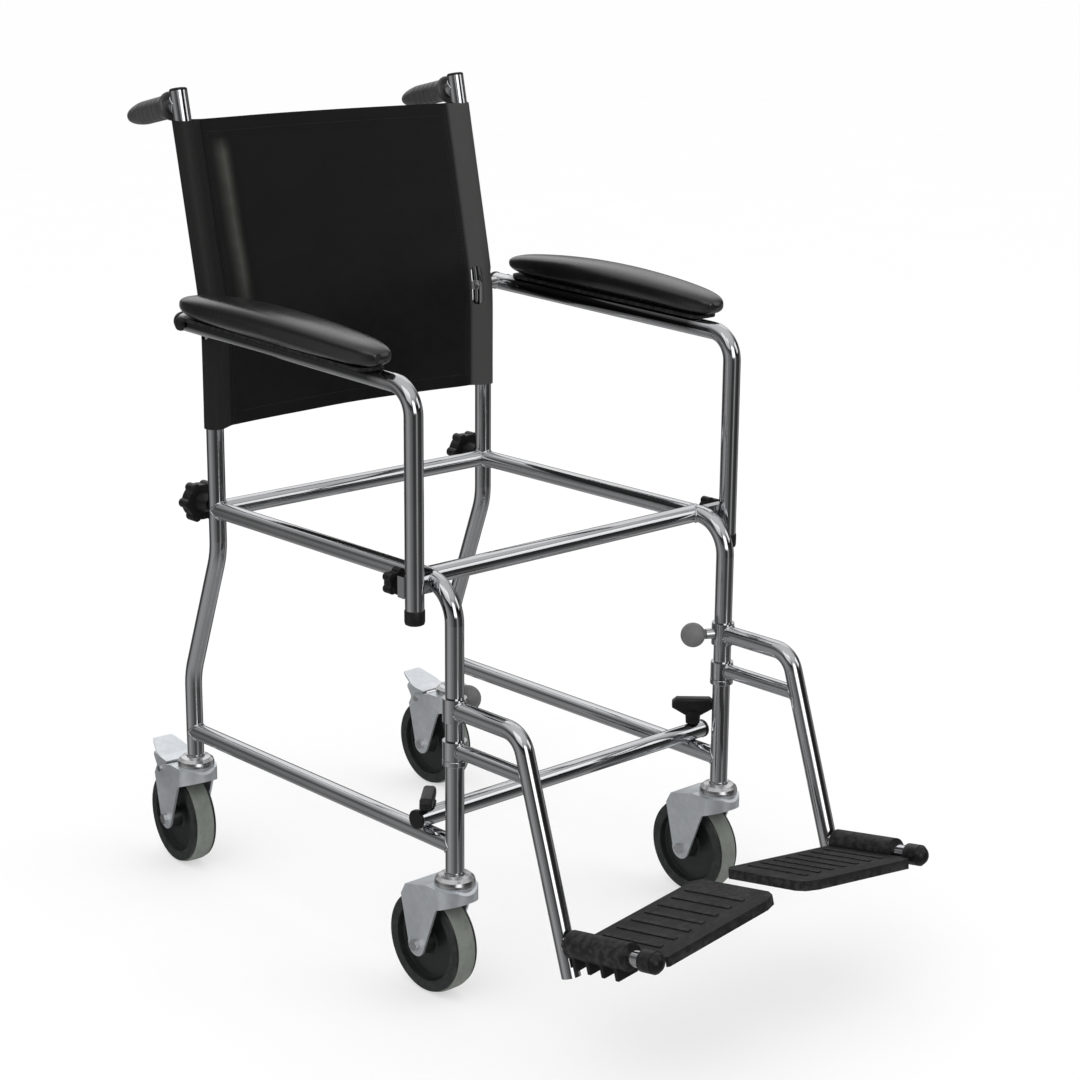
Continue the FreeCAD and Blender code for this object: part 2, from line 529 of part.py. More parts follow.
def wing_knob(x, deg, drop, top):
    zt = BAR_Z + TUBE_R - drop
    w = poly_xz([(-27, zt + top - 13), (-27, zt + top - 5), (-21, zt + top), (21, zt + top), (27, zt + top - 5), (27, zt + top - 13),
                 (10, zt + 12), (-10, zt + 12)], -7.5, 7.5)
    w = soften(w, 4.0, lambda e: e.BoundBox.YLength < 0.1)
    s = w.fuse(cone(9.0, 10.0, V(0, 0, BAR_Z + TUBE_R + 1.0), V(0, 0, zt + 18)))
    s = s.fuse(cyl(THREAD_R, V(0, 0, LOW_Z + 1), V(0, 0, zt + 14)))
    s = solid(s)
    s.rotate(V(0, 0, 0), V(0, 0, 1), deg)
    s.translate(V(x, BAR_Y, 0))
    return s


node("crossbar_wing_knob_right", wing_knob(-HALF_W, 44.0, 10.5, 29.0))
node("crossbar_wing_knob_left", wing_knob(HALF_W, -43.0, 0.0, 35.0))

# ------------------------------------------------- footrest hangers
ring = cyl(14.5, V(X, LEG_Y, 290.5), V(X, LEG_Y, 297.5)).cut(cyl(TUBE_R, V(X, LEG_Y, 280), V(X, LEG_Y, 310)))
ring = soften(ring, 1.2, lambda e: e.BoundBox.XLength > 28)
node("hanger_support_collars", Part.makeCompound([ring, mirror(ring)]))

end = V(X, HANGER_END_Y, HANGER_END_Z)
hg_path = fillet_path([V(X, LEG_Y, HANGER_TOP_Z), V(X, HANGER_BEND_Y, HANGER_TOP_Z), end], [30])
hg_out = rod(hg_path, TUBE_R)
down = (end - V(X, HANGER_BEND_Y, HANGER_TOP_Z)).normalize()


def on_down(z):
    t = (z - HANGER_TOP_Z) / down.z
    return V(X, HANGER_BEND_Y, HANGER_TOP_Z) + down * t


brace_end = on_down(HANGER_LOW_Z)
PA = on_down(PIVOT_Z)
PD = V(0, -math.cos(PIVOT_SLOPE), math.sin(PIVOT_SLOPE))
hanger = hg_out.fuse(cyl(BRACE_R, V(X, LEG_Y, HANGER_LOW_Z), brace_end))
hanger = hanger.fuse(cyl(14.2, V(X, LEG_Y, 343), V(X, LEG_Y, 371))).fuse(cyl(14.2, V(X, LEG_Y, 298), V(X, LEG_Y, 320)))
hanger = hanger.fuse(cyl(PIVOT_R, PA, PA + PD * 140))
lb = V(X, LEG_Y, HANGER_TOP_Z)
hanger = hanger.fuse(cyl(6.5, lb + LATCH_U * 11.5, lb + LATCH_U * 23))
hanger = hanger.cut(rod(fillet_path([V(X, LEG_Y - 13, HANGER_TOP_Z), V(X, HANGER_BEND_Y, HANGER_TOP_Z), end - down * 3], [30]), TUBE_R - WALL))
hanger = hanger.cut(cyl(BRACE_R - WALL, V(X, LEG_Y, HANGER_LOW_Z), brace_end + V(0, 13, 0)))
hanger = hanger.cut(cyl(PIVOT_R - WALL, PA + PD * 14, PA + PD * 150))
hanger = hanger.cut(cyl(TUBE_R + FIT, V(X, LEG_Y, 280), V(X, LEG_Y, 400)))
hanger = hanger.cut(cyl(3 + FIT, lb, lb + LATCH_U * 40))
hanger = solid(hanger)
if len(hanger.Solids) > 1:
    hanger = max(hanger.Solids, key=lambda q: q.Volume)
pair("footrest_hanger", hanger)

latch = cyl(3.0, lb + LATCH_U * 11.25, lb + LATCH_U * 34)
latch = latch.fuse(Part.makeSphere(15.5, lb + LATCH_U * 39.5)).fuse(cyl(6.0, lb + LATCH_U * 23.4, lb + LATCH_U * 34))
pair("hanger_latch_knob", solid(latch))

# footplate, hinged on the tube that points forward from the hanger
INN = V(1, 0, 0) * math.cos(PLATE_TILT) + V(0, math.sin(PIVOT_SLOPE), math.cos(PIVOT_SLOPE)) * math.sin(PLATE_TILT)
NRM = INN.cross(PD)
if NRM.z < 0:
    NRM = NRM * -1
M = Matrix(-INN.x, PD.x, NRM.x, PA.x, -INN.y, PD.y, NRM.y, PA.y, -INN.z, PD.z, NRM.z, PA.z, 0, 0, 0, 1)


def local(s):
    # local x runs inboard across the plate, y along the hinge, z off the tread
    t = mirror(s)
    t.transformShape(M)
    return t


def slab(pts, z0, z1):
    w = Part.makePolygon([V(x, y, z0) for x, y in pts] + [V(pts[0][0], pts[0][1], z0)])
    return Part.Face(w).extrude(V(0, 0, z1 - z0))


out = [(8, BARREL_S0), (PLATE_W1 - 10, BARREL_S0), (PLATE_W1, BARREL_S0 + 8), (PLATE_W1, PLATE_S1 - 16),
       (PLATE_W1 - 6, PLATE_S1 - 5), (PLATE_W1 - 22, PLATE_S1), (20, PLATE_S1), (15, PLATE_S1 - 6), (8, BARREL_S1)]
plate = slab(out, -5.5, -1.5)
rim = slab(out, -13, -1.5).cut(slab([(16, BARREL_S0 + 3), (PLATE_W1 - 12, BARREL_S0 + 3), (PLATE_W1 - 3, BARREL_S0 + 10),
                                     (PLATE_W1 - 3, PLATE_S1 - 17), (PLATE_W1 - 8, PLATE_S1 - 8),
                                     (PLATE_W1 - 23, PLATE_S1 - 3), (16, PLATE_S1 - 3)], -14, -5.5))
plate = plate.fuse(rim)
for sv in (45, 75, 105):
    plate = plate.fuse(slab([(16, sv), (PLATE_W1 - 3, sv), (PLATE_W1 - 3, sv + 3), (16, sv + 3)], -12, -5.4))
for wv in (60, 105, 150):
    plate = plate.fuse(slab([(wv, BARREL_S0 + 1), (wv + 3, BARREL_S0 + 1), (wv + 3, PLATE_S1 - 8), (wv, PLATE_S1 - 8)], -12, -5.4))
for k in range(7):
    wv = 34 + 22 * k
    plate = plate.fuse(slab([(wv, BARREL_S0 + 12), (wv + 6, BARREL_S0 + 12), (wv + 6, PLATE_S1 - 26), (wv, PLATE_S1 - 26)], -1.6, -0.3))
barrel = cyl(BARREL_R, V(0, BARREL_S0, 0), V(0, BARREL_S1, 0))
for k in range(4):
    yv = BARREL_S0 + 8 + 22 * k
    barrel = barrel.fuse(slab([(-13, yv), (17, yv), (17, yv + 5), (-13, yv + 5)], -25, 0))
plate = plate.fuse(barrel)
plate = plate.cut(cyl(PIVOT_R + FIT, V(0, -50, 0), V(0, 300, 0)))
plate = plate.cut(cyl(14.0, V(0, BARREL_S1 + 0.01, 0), V(0, 300, 0)))
plate = solid(plate)
if len(plate.Solids) > 1:
    plate = max(plate.Solids, key=lambda q: q.Volume)
pair("footplate", local(plate))
ecap = cyl(12.5, V(0, 126, 0), V(0, 144, 0)).fuse(Part.makeSphere(12.5, V(0, 140, 0)).common(box(-20, 20, 139, 160, -20, 20)))
ecap = ecap.fuse(cyl(PIVOT_R - WALL, V(0, 118, 0), V(0, 128, 0)))
ecap = ecap.cut(cyl(PIVOT_R, V(0, 100, 0), V(0, 140, 0)).cut(cyl(PIVOT_R - WALL, V(0, 100, 0), V(0, 140, 0))))
pair("footplate_tube_cap", local(solid(ecap)))

# --------------------------------------------------------------- export
lo = [1e9] * 3
hi = [-1e9] * 3
for name, s in NODES.items():
    s = s.copy()
    s.translate(V(0, SHIFT_Y, 0))
    b = s.optimalBoundingBox() if hasattr(s, "optimalBoundingBox") else s.BoundBox
    lo = [min(lo[0], b.XMin), min(lo[1], b.YMin), min(lo[2], b.ZMin)]
    hi = [max(hi[0], b.XMax), max(hi[1], b.YMax), max(hi[2], b.ZMax)]
    if not s.isValid():
        print("invalid", name)
    want = {"crossbar_end_caps": 2, "upright_top_plugs": 2, "back_sling_screws": 4, "castor_stems": 4,
            "armrest_pivot_bolts": 2, "hanger_support_collars": 2}.get(name, 1)
    if len(s.Solids) != want:
        print("solids", name, len(s.Solids))
    s.exportStep("parts/" + name + ".step")
print(len(NODES), "nodes; outline", [round(v, 2) for v in lo], [round(v, 2) for v in hi])
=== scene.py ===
import bpy
import bmesh
import json
import math
import numpy as np
from mathutils import Matrix, Vector


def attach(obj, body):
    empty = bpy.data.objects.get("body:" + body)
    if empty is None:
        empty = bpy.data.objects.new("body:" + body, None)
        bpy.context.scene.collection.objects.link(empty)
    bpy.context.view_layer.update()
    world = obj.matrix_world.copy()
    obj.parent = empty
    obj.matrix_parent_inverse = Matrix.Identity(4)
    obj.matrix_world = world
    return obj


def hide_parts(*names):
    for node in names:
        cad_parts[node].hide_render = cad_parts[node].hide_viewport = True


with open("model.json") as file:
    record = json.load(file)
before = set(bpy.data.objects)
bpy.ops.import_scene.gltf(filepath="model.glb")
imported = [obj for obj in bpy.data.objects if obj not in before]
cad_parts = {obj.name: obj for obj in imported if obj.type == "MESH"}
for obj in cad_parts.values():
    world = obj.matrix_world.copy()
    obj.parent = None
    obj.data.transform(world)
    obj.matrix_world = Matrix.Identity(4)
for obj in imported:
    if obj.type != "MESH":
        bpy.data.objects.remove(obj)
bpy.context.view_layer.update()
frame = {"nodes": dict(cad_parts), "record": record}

NODES = frame["nodes"]
scene = bpy.context.scene

# working frame of the model, mm, to the row frame, m
SHIFT = 63.77


def W(x, y, z):
    return np.array([x, y + SHIFT, z], float) / 1000.0


HALF_W, LEG_Y, UP_Y, REAR_Y = 221.0, -208.0, 249.0, 314.0
SEAT_Z, LOW_Z, BEND_Z, LEAN = 502.0, 191.5, 745.0, math.radians(12.0)


# ------------------------------------------------------------------ meshes
def new_object(name, verts, faces, smooth=True):
    me = bpy.data.meshes.new(name)
    me.from_pydata([tuple(v) for v in verts], [], [tuple(f) for f in faces])
    me.validate()
    bm = bmesh.new()
    bm.from_mesh(me)
    bmesh.ops.recalc_face_normals(bm, faces=bm.faces)
    bm.to_mesh(me)
    bm.free()
    o = bpy.data.objects.new(name, me)
    scene.collection.objects.link(o)
    for p in me.polygons:
        p.use_smooth = smooth
    return o


def grid_faces(n, m, close_n=False, close_m=False, base=0):
    out = []
    for i in range(n if close_n else n - 1):
        for j in range(m if close_m else m - 1):
            a = i * m + j
            b = ((i + 1) % n) * m + j
            c = ((i + 1) % n) * m + (j + 1) % m
            d = i * m + (j + 1) % m
            out.append((base + a, base + b, base + c, base + d))
    return out


def basis(axis):
    a = np.array(axis, float)
    a /= np.linalg.norm(a)
    h = np.array([0, 0, 1.0]) if abs(a[2]) < 0.9 else np.array([1.0, 0, 0])
    u = np.cross(h, a)
    u /= np.linalg.norm(u)
    v = np.cross(a, u)
    return a, u, v


def lathe(name, profile, origin, axis, segs=64, radial=None, phase=0.0):
    """profile: (radius, height) in mm; radial(theta, k) scales the radius of ring k."""
    a, u, v = basis(axis)
    verts, faces = [], []
    n = len(profile)
    for i in range(segs):
        t = 2 * math.pi * i / segs + phase
        for k, (r, h) in enumerate(profile):
            rr = r * (radial(t, k, r, h) if radial else 1.0)
            verts.append(origin + (a * h + u * (rr * math.cos(t)) + v * (rr * math.sin(t))) / 1000.0)
    faces = grid_faces(segs, n, close_n=True)
    for k in (0, n - 1):
        if profile[k][0] > 1e-6:
            faces.append([i * n + k for i in range(segs)])
    o = new_object(name, verts, faces)
    bm = bmesh.new()
    bm.from_mesh(o.data)
    bmesh.ops.remove_doubles(bm, verts=bm.verts, dist=1e-6)
    bmesh.ops.recalc_face_normals(bm, faces=bm.faces)
    bm.to_mesh(o.data)
    bm.free()
    for p in o.data.polygons:
        p.use_smooth = True
    return o


def ring_lathe(name, profile, origin, axis, segs=64, radial=None):
    """A closed profile (no points on the axis) turned into a ring."""
    a, u, v = basis(axis)
    verts = []
    n = len(profile)
    for i in range(segs):
        t = 2 * math.pi * i / segs
        for k, (r, h) in enumerate(profile):
            rr = r + (radial(t, k, r, h) if radial else 0.0)
            verts.append(origin + (a * h + u * (rr * math.cos(t)) + v * (rr * math.sin(t))) / 1000.0)
    return new_object(name, verts, grid_faces(segs, n, True, True))


def sharpen(o, deg=35.0):
    bm = bmesh.new()
    bm.from_mesh(o.data)
    for e in bm.edges:
        e.smooth = not (len(e.link_faces) == 2 and e.calc_face_angle(0) > math.radians(deg))
    bm.to_mesh(o.data)
    bm.free()


def sweep(name, pts, r, segs=8, closed=False):
    """A thin bead along a list of points (m); r in mm."""
    pts = [np.array(p, float) for p in pts]
    n = len(pts)
    verts = []
    up = None
    for i in range(n):
        if closed:
            t = pts[(i + 1) % n] - pts[i - 1]
        else:
            t = pts[min(i + 1, n - 1)] - pts[max(i - 1, 0)]
        t /= np.linalg.norm(t)
        if up is None:
            _, u, v = basis(t)
        else:
            u = up - t * (up @ t)
            u /= np.linalg.norm(u)
            v = np.cross(t, u)
        up = u
        for k in range(segs):
            a = 2 * math.pi * k / segs
            rr = r * (1.0 + 0.10 * math.sin(i * 2.1)) if closed else r
            verts.append(pts[i] + (u * math.cos(a) + v * math.sin(a)) * rr / 1000.0)
    faces = grid_faces(n, segs, closed, True)
    if not closed:
        faces += [list(range(segs)), [(n - 1) * segs + k for k in range(segs)]]
    return new_object(name, verts, faces)


def join(objs, name):
    base = objs[0]
    verts, faces, off = [], [], 0
    for o in objs:
        verts += [tuple(v.co) for v in o.data.vertices]
        faces += [[i + off for i in p.vertices] for p in o.data.polygons]
        off += len(o.data.vertices)
    for o in objs:
        me = o.data
        bpy.data.objects.remove(o)
        bpy.data.meshes.remove(me)
    return new_object(name, verts, faces)


# --------------------------------------------------------------- materials
def shader(name):
    m = bpy.data.materials.new(name)
    m.use_nodes = True
    nt = m.node_tree
    b = nt.nodes["Principled BSDF"]
    tc = nt.nodes.new("ShaderNodeTexCoord")
    return m, nt, b, tc.outputs["Object"]


def node(nt, kind, **kw):
    n = nt.nodes.new(kind)
    for k, v in kw.items():
        if k.startswith("in_"):
            n.inputs[k[3:].replace("_", " ")].default_value = v
        else:
            setattr(n, k, v)
    return n


def noise(nt, co, scale, detail=4.0, rough=0.55, stretch=None):
    if stretch:
        mp = node(nt, "ShaderNodeMapping")
        mp.inputs["Scale"].default_value = stretch
        nt.links.new(co, mp.inputs["Vector"])
        co = mp.outputs["Vector"]
    n = node(nt, "ShaderNodeTexNoise", in_Scale=scale, in_Detail=detail, in_Roughness=rough)
    nt.links.new(co, n.inputs["Vector"])
    return n.outputs["Fac"]


def voronoi(nt, co, scale, feature="F1"):
    n = node(nt, "ShaderNodeTexVoronoi", in_Scale=scale, feature=feature)
    nt.links.new(co, n.inputs["Vector"])
    return n.outputs["Distance"]


def ramp(nt, fac, stops):
    r = node(nt, "ShaderNodeValToRGB")
    el = r.color_ramp.elements
    while len(el) > 1:
        el.remove(el[-1])
    for i, (p, c) in enumerate(stops):
        e = el[0] if i == 0 else el.new(p)
        e.position = p
        e.color = (c, c, c, 1) if isinstance(c, (int, float)) else (*c, 1)
    nt.links.new(fac, r.inputs["Fac"])
    return r.outputs["Color"]


def remap(nt, fac, lo, hi, a=0.3, b=0.7):
    n = node(nt, "ShaderNodeMapRange")
    n.inputs["From Min"].default_value = a
    n.inputs["From Max"].default_value = b
    n.inputs["To Min"].default_value = lo
    n.inputs["To Max"].default_value = hi
    nt.links.new(fac, n.inputs["Value"])
    return n.outputs["Result"]


def math_node(nt, op, a, b):
    n = node(nt, "ShaderNodeMath", operation=op)
    for i, v in enumerate((a, b)):
        if isinstance(v, (int, float)):
            n.inputs[i].default_value = v
        else:
            nt.links.new(v, n.inputs[i])
    return n.outputs[0]


def bump(nt, b, height, dist, strength=1.0, chain=None):
    n = node(nt, "ShaderNodeBump")
    n.inputs["Distance"].default_value = dist
    n.inputs["Strength"].default_value = strength
    nt.links.new(height, n.inputs["Height"])
    if chain is not None:
        nt.links.new(chain, n.inputs["Normal"])
    nt.links.new(n.outputs["Normal"], b.inputs["Normal"])
    return n.outputs["Normal"]


def edge_wear(nt, lo=0.52, hi=0.6):
    g = node(nt, "ShaderNodeNewGeometry")
    return remap(nt, g.outputs["Pointiness"], 0.0, 1.0, lo, hi)


def mix_color(nt, fac, a, b):
    n = node(nt, "ShaderNodeMix", data_type="RGBA")
    if isinstance(fac, (int, float)):
        n.inputs[0].default_value = fac
    else:
        nt.links.new(fac, n.inputs[0])
    for i, c in ((6, a), (7, b)):
        if isinstance(c, tuple):
            n.inputs[i].default_value = (*c, 1)
        else:
            nt.links.new(c, n.inputs[i])
    return n.outputs[2]


def chrome_material(name, tint=(0.74, 0.745, 0.76), r0=0.05, r1=0.14, painted_pad_shade=None):
    m, nt, b, co = shader(name)
    b.inputs["Metallic"].default_value = 1.0
    broad = noise(nt, co, 9.0, 5.0)
    fine = noise(nt, co, 260.0, 3.0)
    col = mix_color(nt, remap(nt, broad, 0.0, 1.0), tuple(0.90 * c for c in tint), tint)
    specks = voronoi(nt, co, 210.0)
    dull = remap(nt, specks, 1.0, 0.0, 0.02, 0.07)
    col = mix_color(nt, math_node(nt, "MULTIPLY", dull, 0.45), col, (0.36, 0.34, 0.32))
    nt.links.new(col, b.inputs["Base Color"])
    if painted_pad_shade:
        pad_shadow(nt, co, b, painted_pad_shade)
    rough = math_node(nt, "ADD", remap(nt, broad, r0, r1), math_node(nt, "MULTIPLY", dull, 0.2))
    nt.links.new(math_node(nt, "ADD", rough, remap(nt, fine, -0.015, 0.02)), b.inputs["Roughness"])
    n1 = bump(nt, b, noise(nt, co, 38.0, 2.0), 0.0006, 0.12)
    bump(nt, b, noise(nt, co, 900.0, 2.0), 0.0001, 0.10, n1)
    return m


def pad_shadow(nt, co, b, y_end):
    """Painted shade from the pad and its board along the top of the armrest tube: the upward-facing half is darkened
    towards black between the pad's ends.
    """
    links = [l for l in nt.links if l.to_socket == b.inputs["Base Color"]]
    col = links[0].from_socket
    g = node(nt, "ShaderNodeTexCoord")
    sn = node(nt, "ShaderNodeSeparateXYZ")
    nt.links.new(g.outputs["Normal"], sn.inputs["Vector"])
    so = node(nt, "ShaderNodeSeparateXYZ")
    nt.links.new(co, so.inputs["Vector"])
    f = remap(nt, sn.outputs["Z"], 0.0, 1.0, -0.42, -0.10)
    f = math_node(nt, "MULTIPLY", f, remap(nt, so.outputs["Y"], 0.0, 1.0, (SHIFT - 136.0) / 1000.0, (SHIFT - 110.0) / 1000.0))
    f = math_node(nt, "MULTIPLY", f, remap(nt, so.outputs["Y"], 1.0, 0.0, (SHIFT + y_end - 18.0) / 1000.0, (SHIFT + y_end) / 1000.0))
    f = math_node(nt, "MULTIPLY", f, remap(nt, so.outputs["Z"], 0.0, 1.0, 0.690, 0.700))
    # painted shade: the tube's colour is mixed towards near-black where the mask is set
    nt.links.new(mix_color(nt, math_node(nt, "MULTIPLY", f, 0.88), col, (0.03, 0.03, 0.03)), b.inputs["Base Color"])


def steel_material(name, col_a, col_b, r0, r1, grain=None, metallic=1.0):
    m, nt, b, co = shader(name)
    b.inputs["Metallic"].default_value = metallic
    broad = noise(nt, co, 22.0, 6.0)
    fl = voronoi(nt, co, 120.0)
    col = mix_color(nt, remap(nt, broad, 0.0, 1.0), col_a, col_b)
    col = mix_color(nt, remap(nt, fl, 0.0, 0.22, 0.1, 0.8), col, tuple(0.72 * c for c in col_a))
    nt.links.new(col, b.inputs["Base Color"])
    nt.links.new(remap(nt, broad, r0, r1), b.inputs["Roughness"])
    n1 = bump(nt, b, noise(nt, co, 700.0, 3.0, stretch=grain), 0.0002, 0.30)
    bump(nt, b, noise(nt, co, 60.0, 2.0), 0.0008, 0.12, n1)
    return m


def plastic_material(name, col, r0, r1, grain=900.0, depth=0.00018, wear=0.35, coat=0.0, dust=0.05, spec=0.5):
    m, nt, b, co = shader(name)
    broad = noise(nt, co, 30.0, 6.0)
    c = mix_color(nt, remap(nt, broad, 0.0, 1.0), tuple(0.82 * x for x in col), tuple(min(1, 1.22 * x) for x in col))
    if wear:
        w = math_node(nt, "MULTIPLY", edge_wear(nt), remap(nt, noise(nt, co, 140.0, 5.0), 0.0, 1.0, 0.42, 0.62))
        c = mix_color(nt, math_node(nt, "MULTIPLY", w, wear), c, (0.12, 0.12, 0.122))
    dust_n = remap(nt, noise(nt, co, 11.0, 8.0, 0.7), 0.0, dust, 0.5, 0.75)
    c = mix_color(nt, dust_n, c, (0.20, 0.195, 0.185))
    nt.links.new(c, b.inputs["Base Color"])
    nt.links.new(remap(nt, broad, r0, r1), b.inputs["Roughness"])
    b.inputs["Coat Weight"].default_value = coat
    b.inputs["Specular IOR Level"].default_value = spec
    n1 = bump(nt, b, voronoi(nt, co, grain), depth, 0.5)
    bump(nt, b, noise(nt, co, 90.0, 2.0), 0.0006, 0.10, n1)
    return m


def sling_painted_highlights(nt, co, c):
    """Painted highlights on the sling, lighter than the cloth between them: the far sleeve is painted much lighter and
    the near sleeve a little lighter, and a lighter band is painted along the soft upright fold beside the right sleeve.
    """
    sx = node(nt, "ShaderNodeSeparateXYZ")
    nt.links.new(co, sx.inputs["Vector"])
    x, z = sx.outputs["X"], sx.outputs["Z"]
    # painted highlight: the far sleeve is made much lighter, the near sleeve a little lighter
    far = remap(nt, x, 0.0, 0.85, 0.1965, 0.2005)
    near = remap(nt, x, 0.0, 0.80, -0.1965, -0.2005)
    c = mix_color(nt, far, c, (0.060, 0.060, 0.059))
    c = mix_color(nt, near, c, (0.0150, 0.0150, 0.0145))
    # painted highlight: a lighter band along the upright fold beside the right sleeve
    mid_line = math_node(nt, "ADD", math_node(nt, "ADD", x, 0.166), math_node(nt, "MULTIPLY", math_node(nt, "SUBTRACT", z, 0.850), 0.03))
    fold_highlight = math_node(nt, "POWER", remap(nt, math_node(nt, "ABSOLUTE", mid_line, 0.0), 1.0, 0.0, 0.0, 0.019), 1.6)
    fold_highlight = math_node(nt, "MULTIPLY", fold_highlight, remap(nt, z, 0.0, 1.0, 0.735, 0.790))
    fold_highlight = math_node(nt, "MULTIPLY", fold_highlight, remap(nt, z, 1.0, 0.0, 0.940, 0.958))
    fold_highlight = math_node(nt, "MULTIPLY", fold_highlight, remap(nt, noise(nt, co, 26.0, 4.0), 0.55, 0.95))
    return mix_color(nt, fold_highlight, c, (0.064, 0.064, 0.055))


def vinyl_material(name, col, r0, r1, grain, weave_and_painted_light=False, sheen=0.0, coat=0.0, spec=0.5):
    m, nt, b, co = shader(name)
    broad = noise(nt, co, 7.0, 5.0)
    mid = noise(nt, co, 70.0, 4.0)
    c = mix_color(nt, remap(nt, broad, 0.0, 1.0), tuple(0.75 * x for x in col), tuple(1.3 * x for x in col))
    c = mix_color(nt, remap(nt, mid, 0.0, 0.35), c, tuple(1.7 * x for x in col))
    # painted highlights on the sleeves and the fold of the sling
    if weave_and_painted_light:
        c = sling_painted_highlights(nt, co, c)
    nt.links.new(c, b.inputs["Base Color"])
    rr = math_node(nt, "ADD", remap(nt, broad, r0, r1), remap(nt, mid, -0.04, 0.04))
    nt.links.new(rr, b.inputs["Roughness"])
    b.inputs["Specular IOR Level"].default_value = spec
    b.inputs["Sheen Weight"].default_value = sheen
    b.inputs["Sheen Roughness"].default_value = 0.45
    b.inputs["Coat Weight"].default_value = coat
    b.inputs["Coat Roughness"].default_value = 0.3
    g = voronoi(nt, co, grain, "SMOOTH_F1") if not weave_and_painted_light else None
    if weave_and_painted_light:
        w1 = node(nt, "ShaderNodeTexWave", in_Scale=310.0, bands_direction="X")
        w2 = node(nt, "ShaderNodeTexWave", in_Scale=310.0, bands_direction="Z")
        for w in (w1, w2):
            w.inputs["Distortion"].default_value = 0.6
            w.inputs["Detail"].default_value = 1.0
            nt.links.new(co, w.inputs["Vector"])
        g = math_node(nt, "MAXIMUM", w1.outputs["Fac"], w2.outputs["Fac"])
    n1 = bump(nt, b, g, 0.00022, 0.35)
    n2 = bump(nt, b, mid, 0.0007, 0.25, n1)
    bump(nt, b, broad, 0.004, 0.15, n2)
    return m


MATS = {
    "chromed_tube": chrome_material("chromed_tube", (0.60, 0.605, 0.62)),
    "bright_steel": steel_material("bright_steel", (0.58, 0.58, 0.59), (0.72, 0.72, 0.73), 0.22, 0.36),
    "zinc_steel": steel_material("zinc_steel", (0.65, 0.68, 0.71), (0.82, 0.85, 0.88), 0.34, 0.50, metallic=0.85),
    "black_plastic": plastic_material("black_plastic", (0.0065, 0.0065, 0.0068), 0.30, 0.46, wear=0.12, dust=0.02, spec=0.32),
    "grey_knob": plastic_material("grey_knob", (0.130, 0.130, 0.130), 0.34, 0.48, wear=0.0),
    "footplate_plastic": plastic_material("footplate_plastic", (0.0120, 0.0118, 0.0120), 0.46, 0.62, grain=620.0, depth=0.0003, wear=0.18, dust=0.015, spec=0.20),
    "wheel_black": plastic_material("wheel_black", (0.010, 0.012, 0.012), 0.28, 0.46, wear=0.15),
    "black_vinyl_sling": vinyl_material("black_vinyl_sling", (0.0046, 0.0046, 0.0046), 0.40, 0.54, 1300.0, weave_and_painted_light=True, sheen=0.0, spec=0.2),
    "black_pad": vinyl_material("black_pad", (0.0050, 0.0050, 0.0052), 0.17, 0.29, 1500.0, sheen=0.0, coat=0.50),
    "black_grip": vinyl_material("black_grip", (0.040, 0.040, 0.040), 0.28, 0.42, 1700.0),
    "thread": vinyl_material("thread", (0.016, 0.016, 0.016), 0.6, 0.8, 2600.0),
}


def tyre_material():
    m, nt, b, co = shader("grey_tyre")
    broad = noise(nt, co, 40.0, 6.0)
    c = mix_color(nt, remap(nt, broad, 0.0, 1.0), (0.140, 0.157, 0.136), (0.190, 0.207, 0.182))
    dirt = remap(nt, noise(nt, co, 95.0, 8.0, 0.7), 0.0, 0.45, 0.48, 0.70)
    c = mix_color(nt, dirt, c, (0.095, 0.102, 0.090))
    nt.links.new(c, b.inputs["Base Color"])
    nt.links.new(remap(nt, broad, 0.50, 0.68), b.inputs["Roughness"])
    n1 = bump(nt, b, noise(nt, co, 650.0, 3.0), 0.0003, 0.4)
    bump(nt, b, noise(nt, co, 120.0, 2.0), 0.0006, 0.15, n1)
    return m


MATS["grey_tyre"] = tyre_material()


def dress(o, slot):
    o.data.materials.clear()
    o.data.materials.append(MATS[slot])
    return o


for sp in frame["record"]["subparts"]:
    o = NODES[sp["node"]]
    o.data.materials.clear()
    o.data.materials.append(MATS[sp["material_slot"]])

# painted shade under each armrest pad, on the top of its tube, ending at y_end
for s_, y_end in (("right", 262.0), ("left", 232.0)):
    o = NODES["armrest_tube_" + s_]
    o.data.materials.clear()
    o.data.materials.append(chrome_material("chromed_tube_under_pad_" + s_, (0.60, 0.605, 0.62), painted_pad_shade=y_end))

# softened edges on the hard pieces
for n, o in NODES.items():
    if n.endswith(("_fork", "brake_pedal", "wheel_centre", "axle_bolt", "brake_pin")) or "cradle" in n \
            or "footplate" in n or "caps" in n or "plugs" in n or "stems" in n or "bolts" in n or "latch" in n \
            or "collars" in n:
        bv = o.modifiers.new("edge", "BEVEL")
        bv.width = 0.0006
        bv.segments = 2
        bv.limit_method = "ANGLE"
        bv.angle_limit = math.radians(38)
        bv.harden_normals = False

# --------------------------------------------------------------- back sling
SL_LO, SL_HI = 606.4, 980.4
rs = 12.55
HEM = 19.0


def up_line(z):
    t = math.tan(LEAN)
    k = 12.0
    q = (z - BEND_Z) / k
    return UP_Y + t * (k * math.log1p(math.exp(min(q, 60))) if q < 60 else (z - BEND_Z))


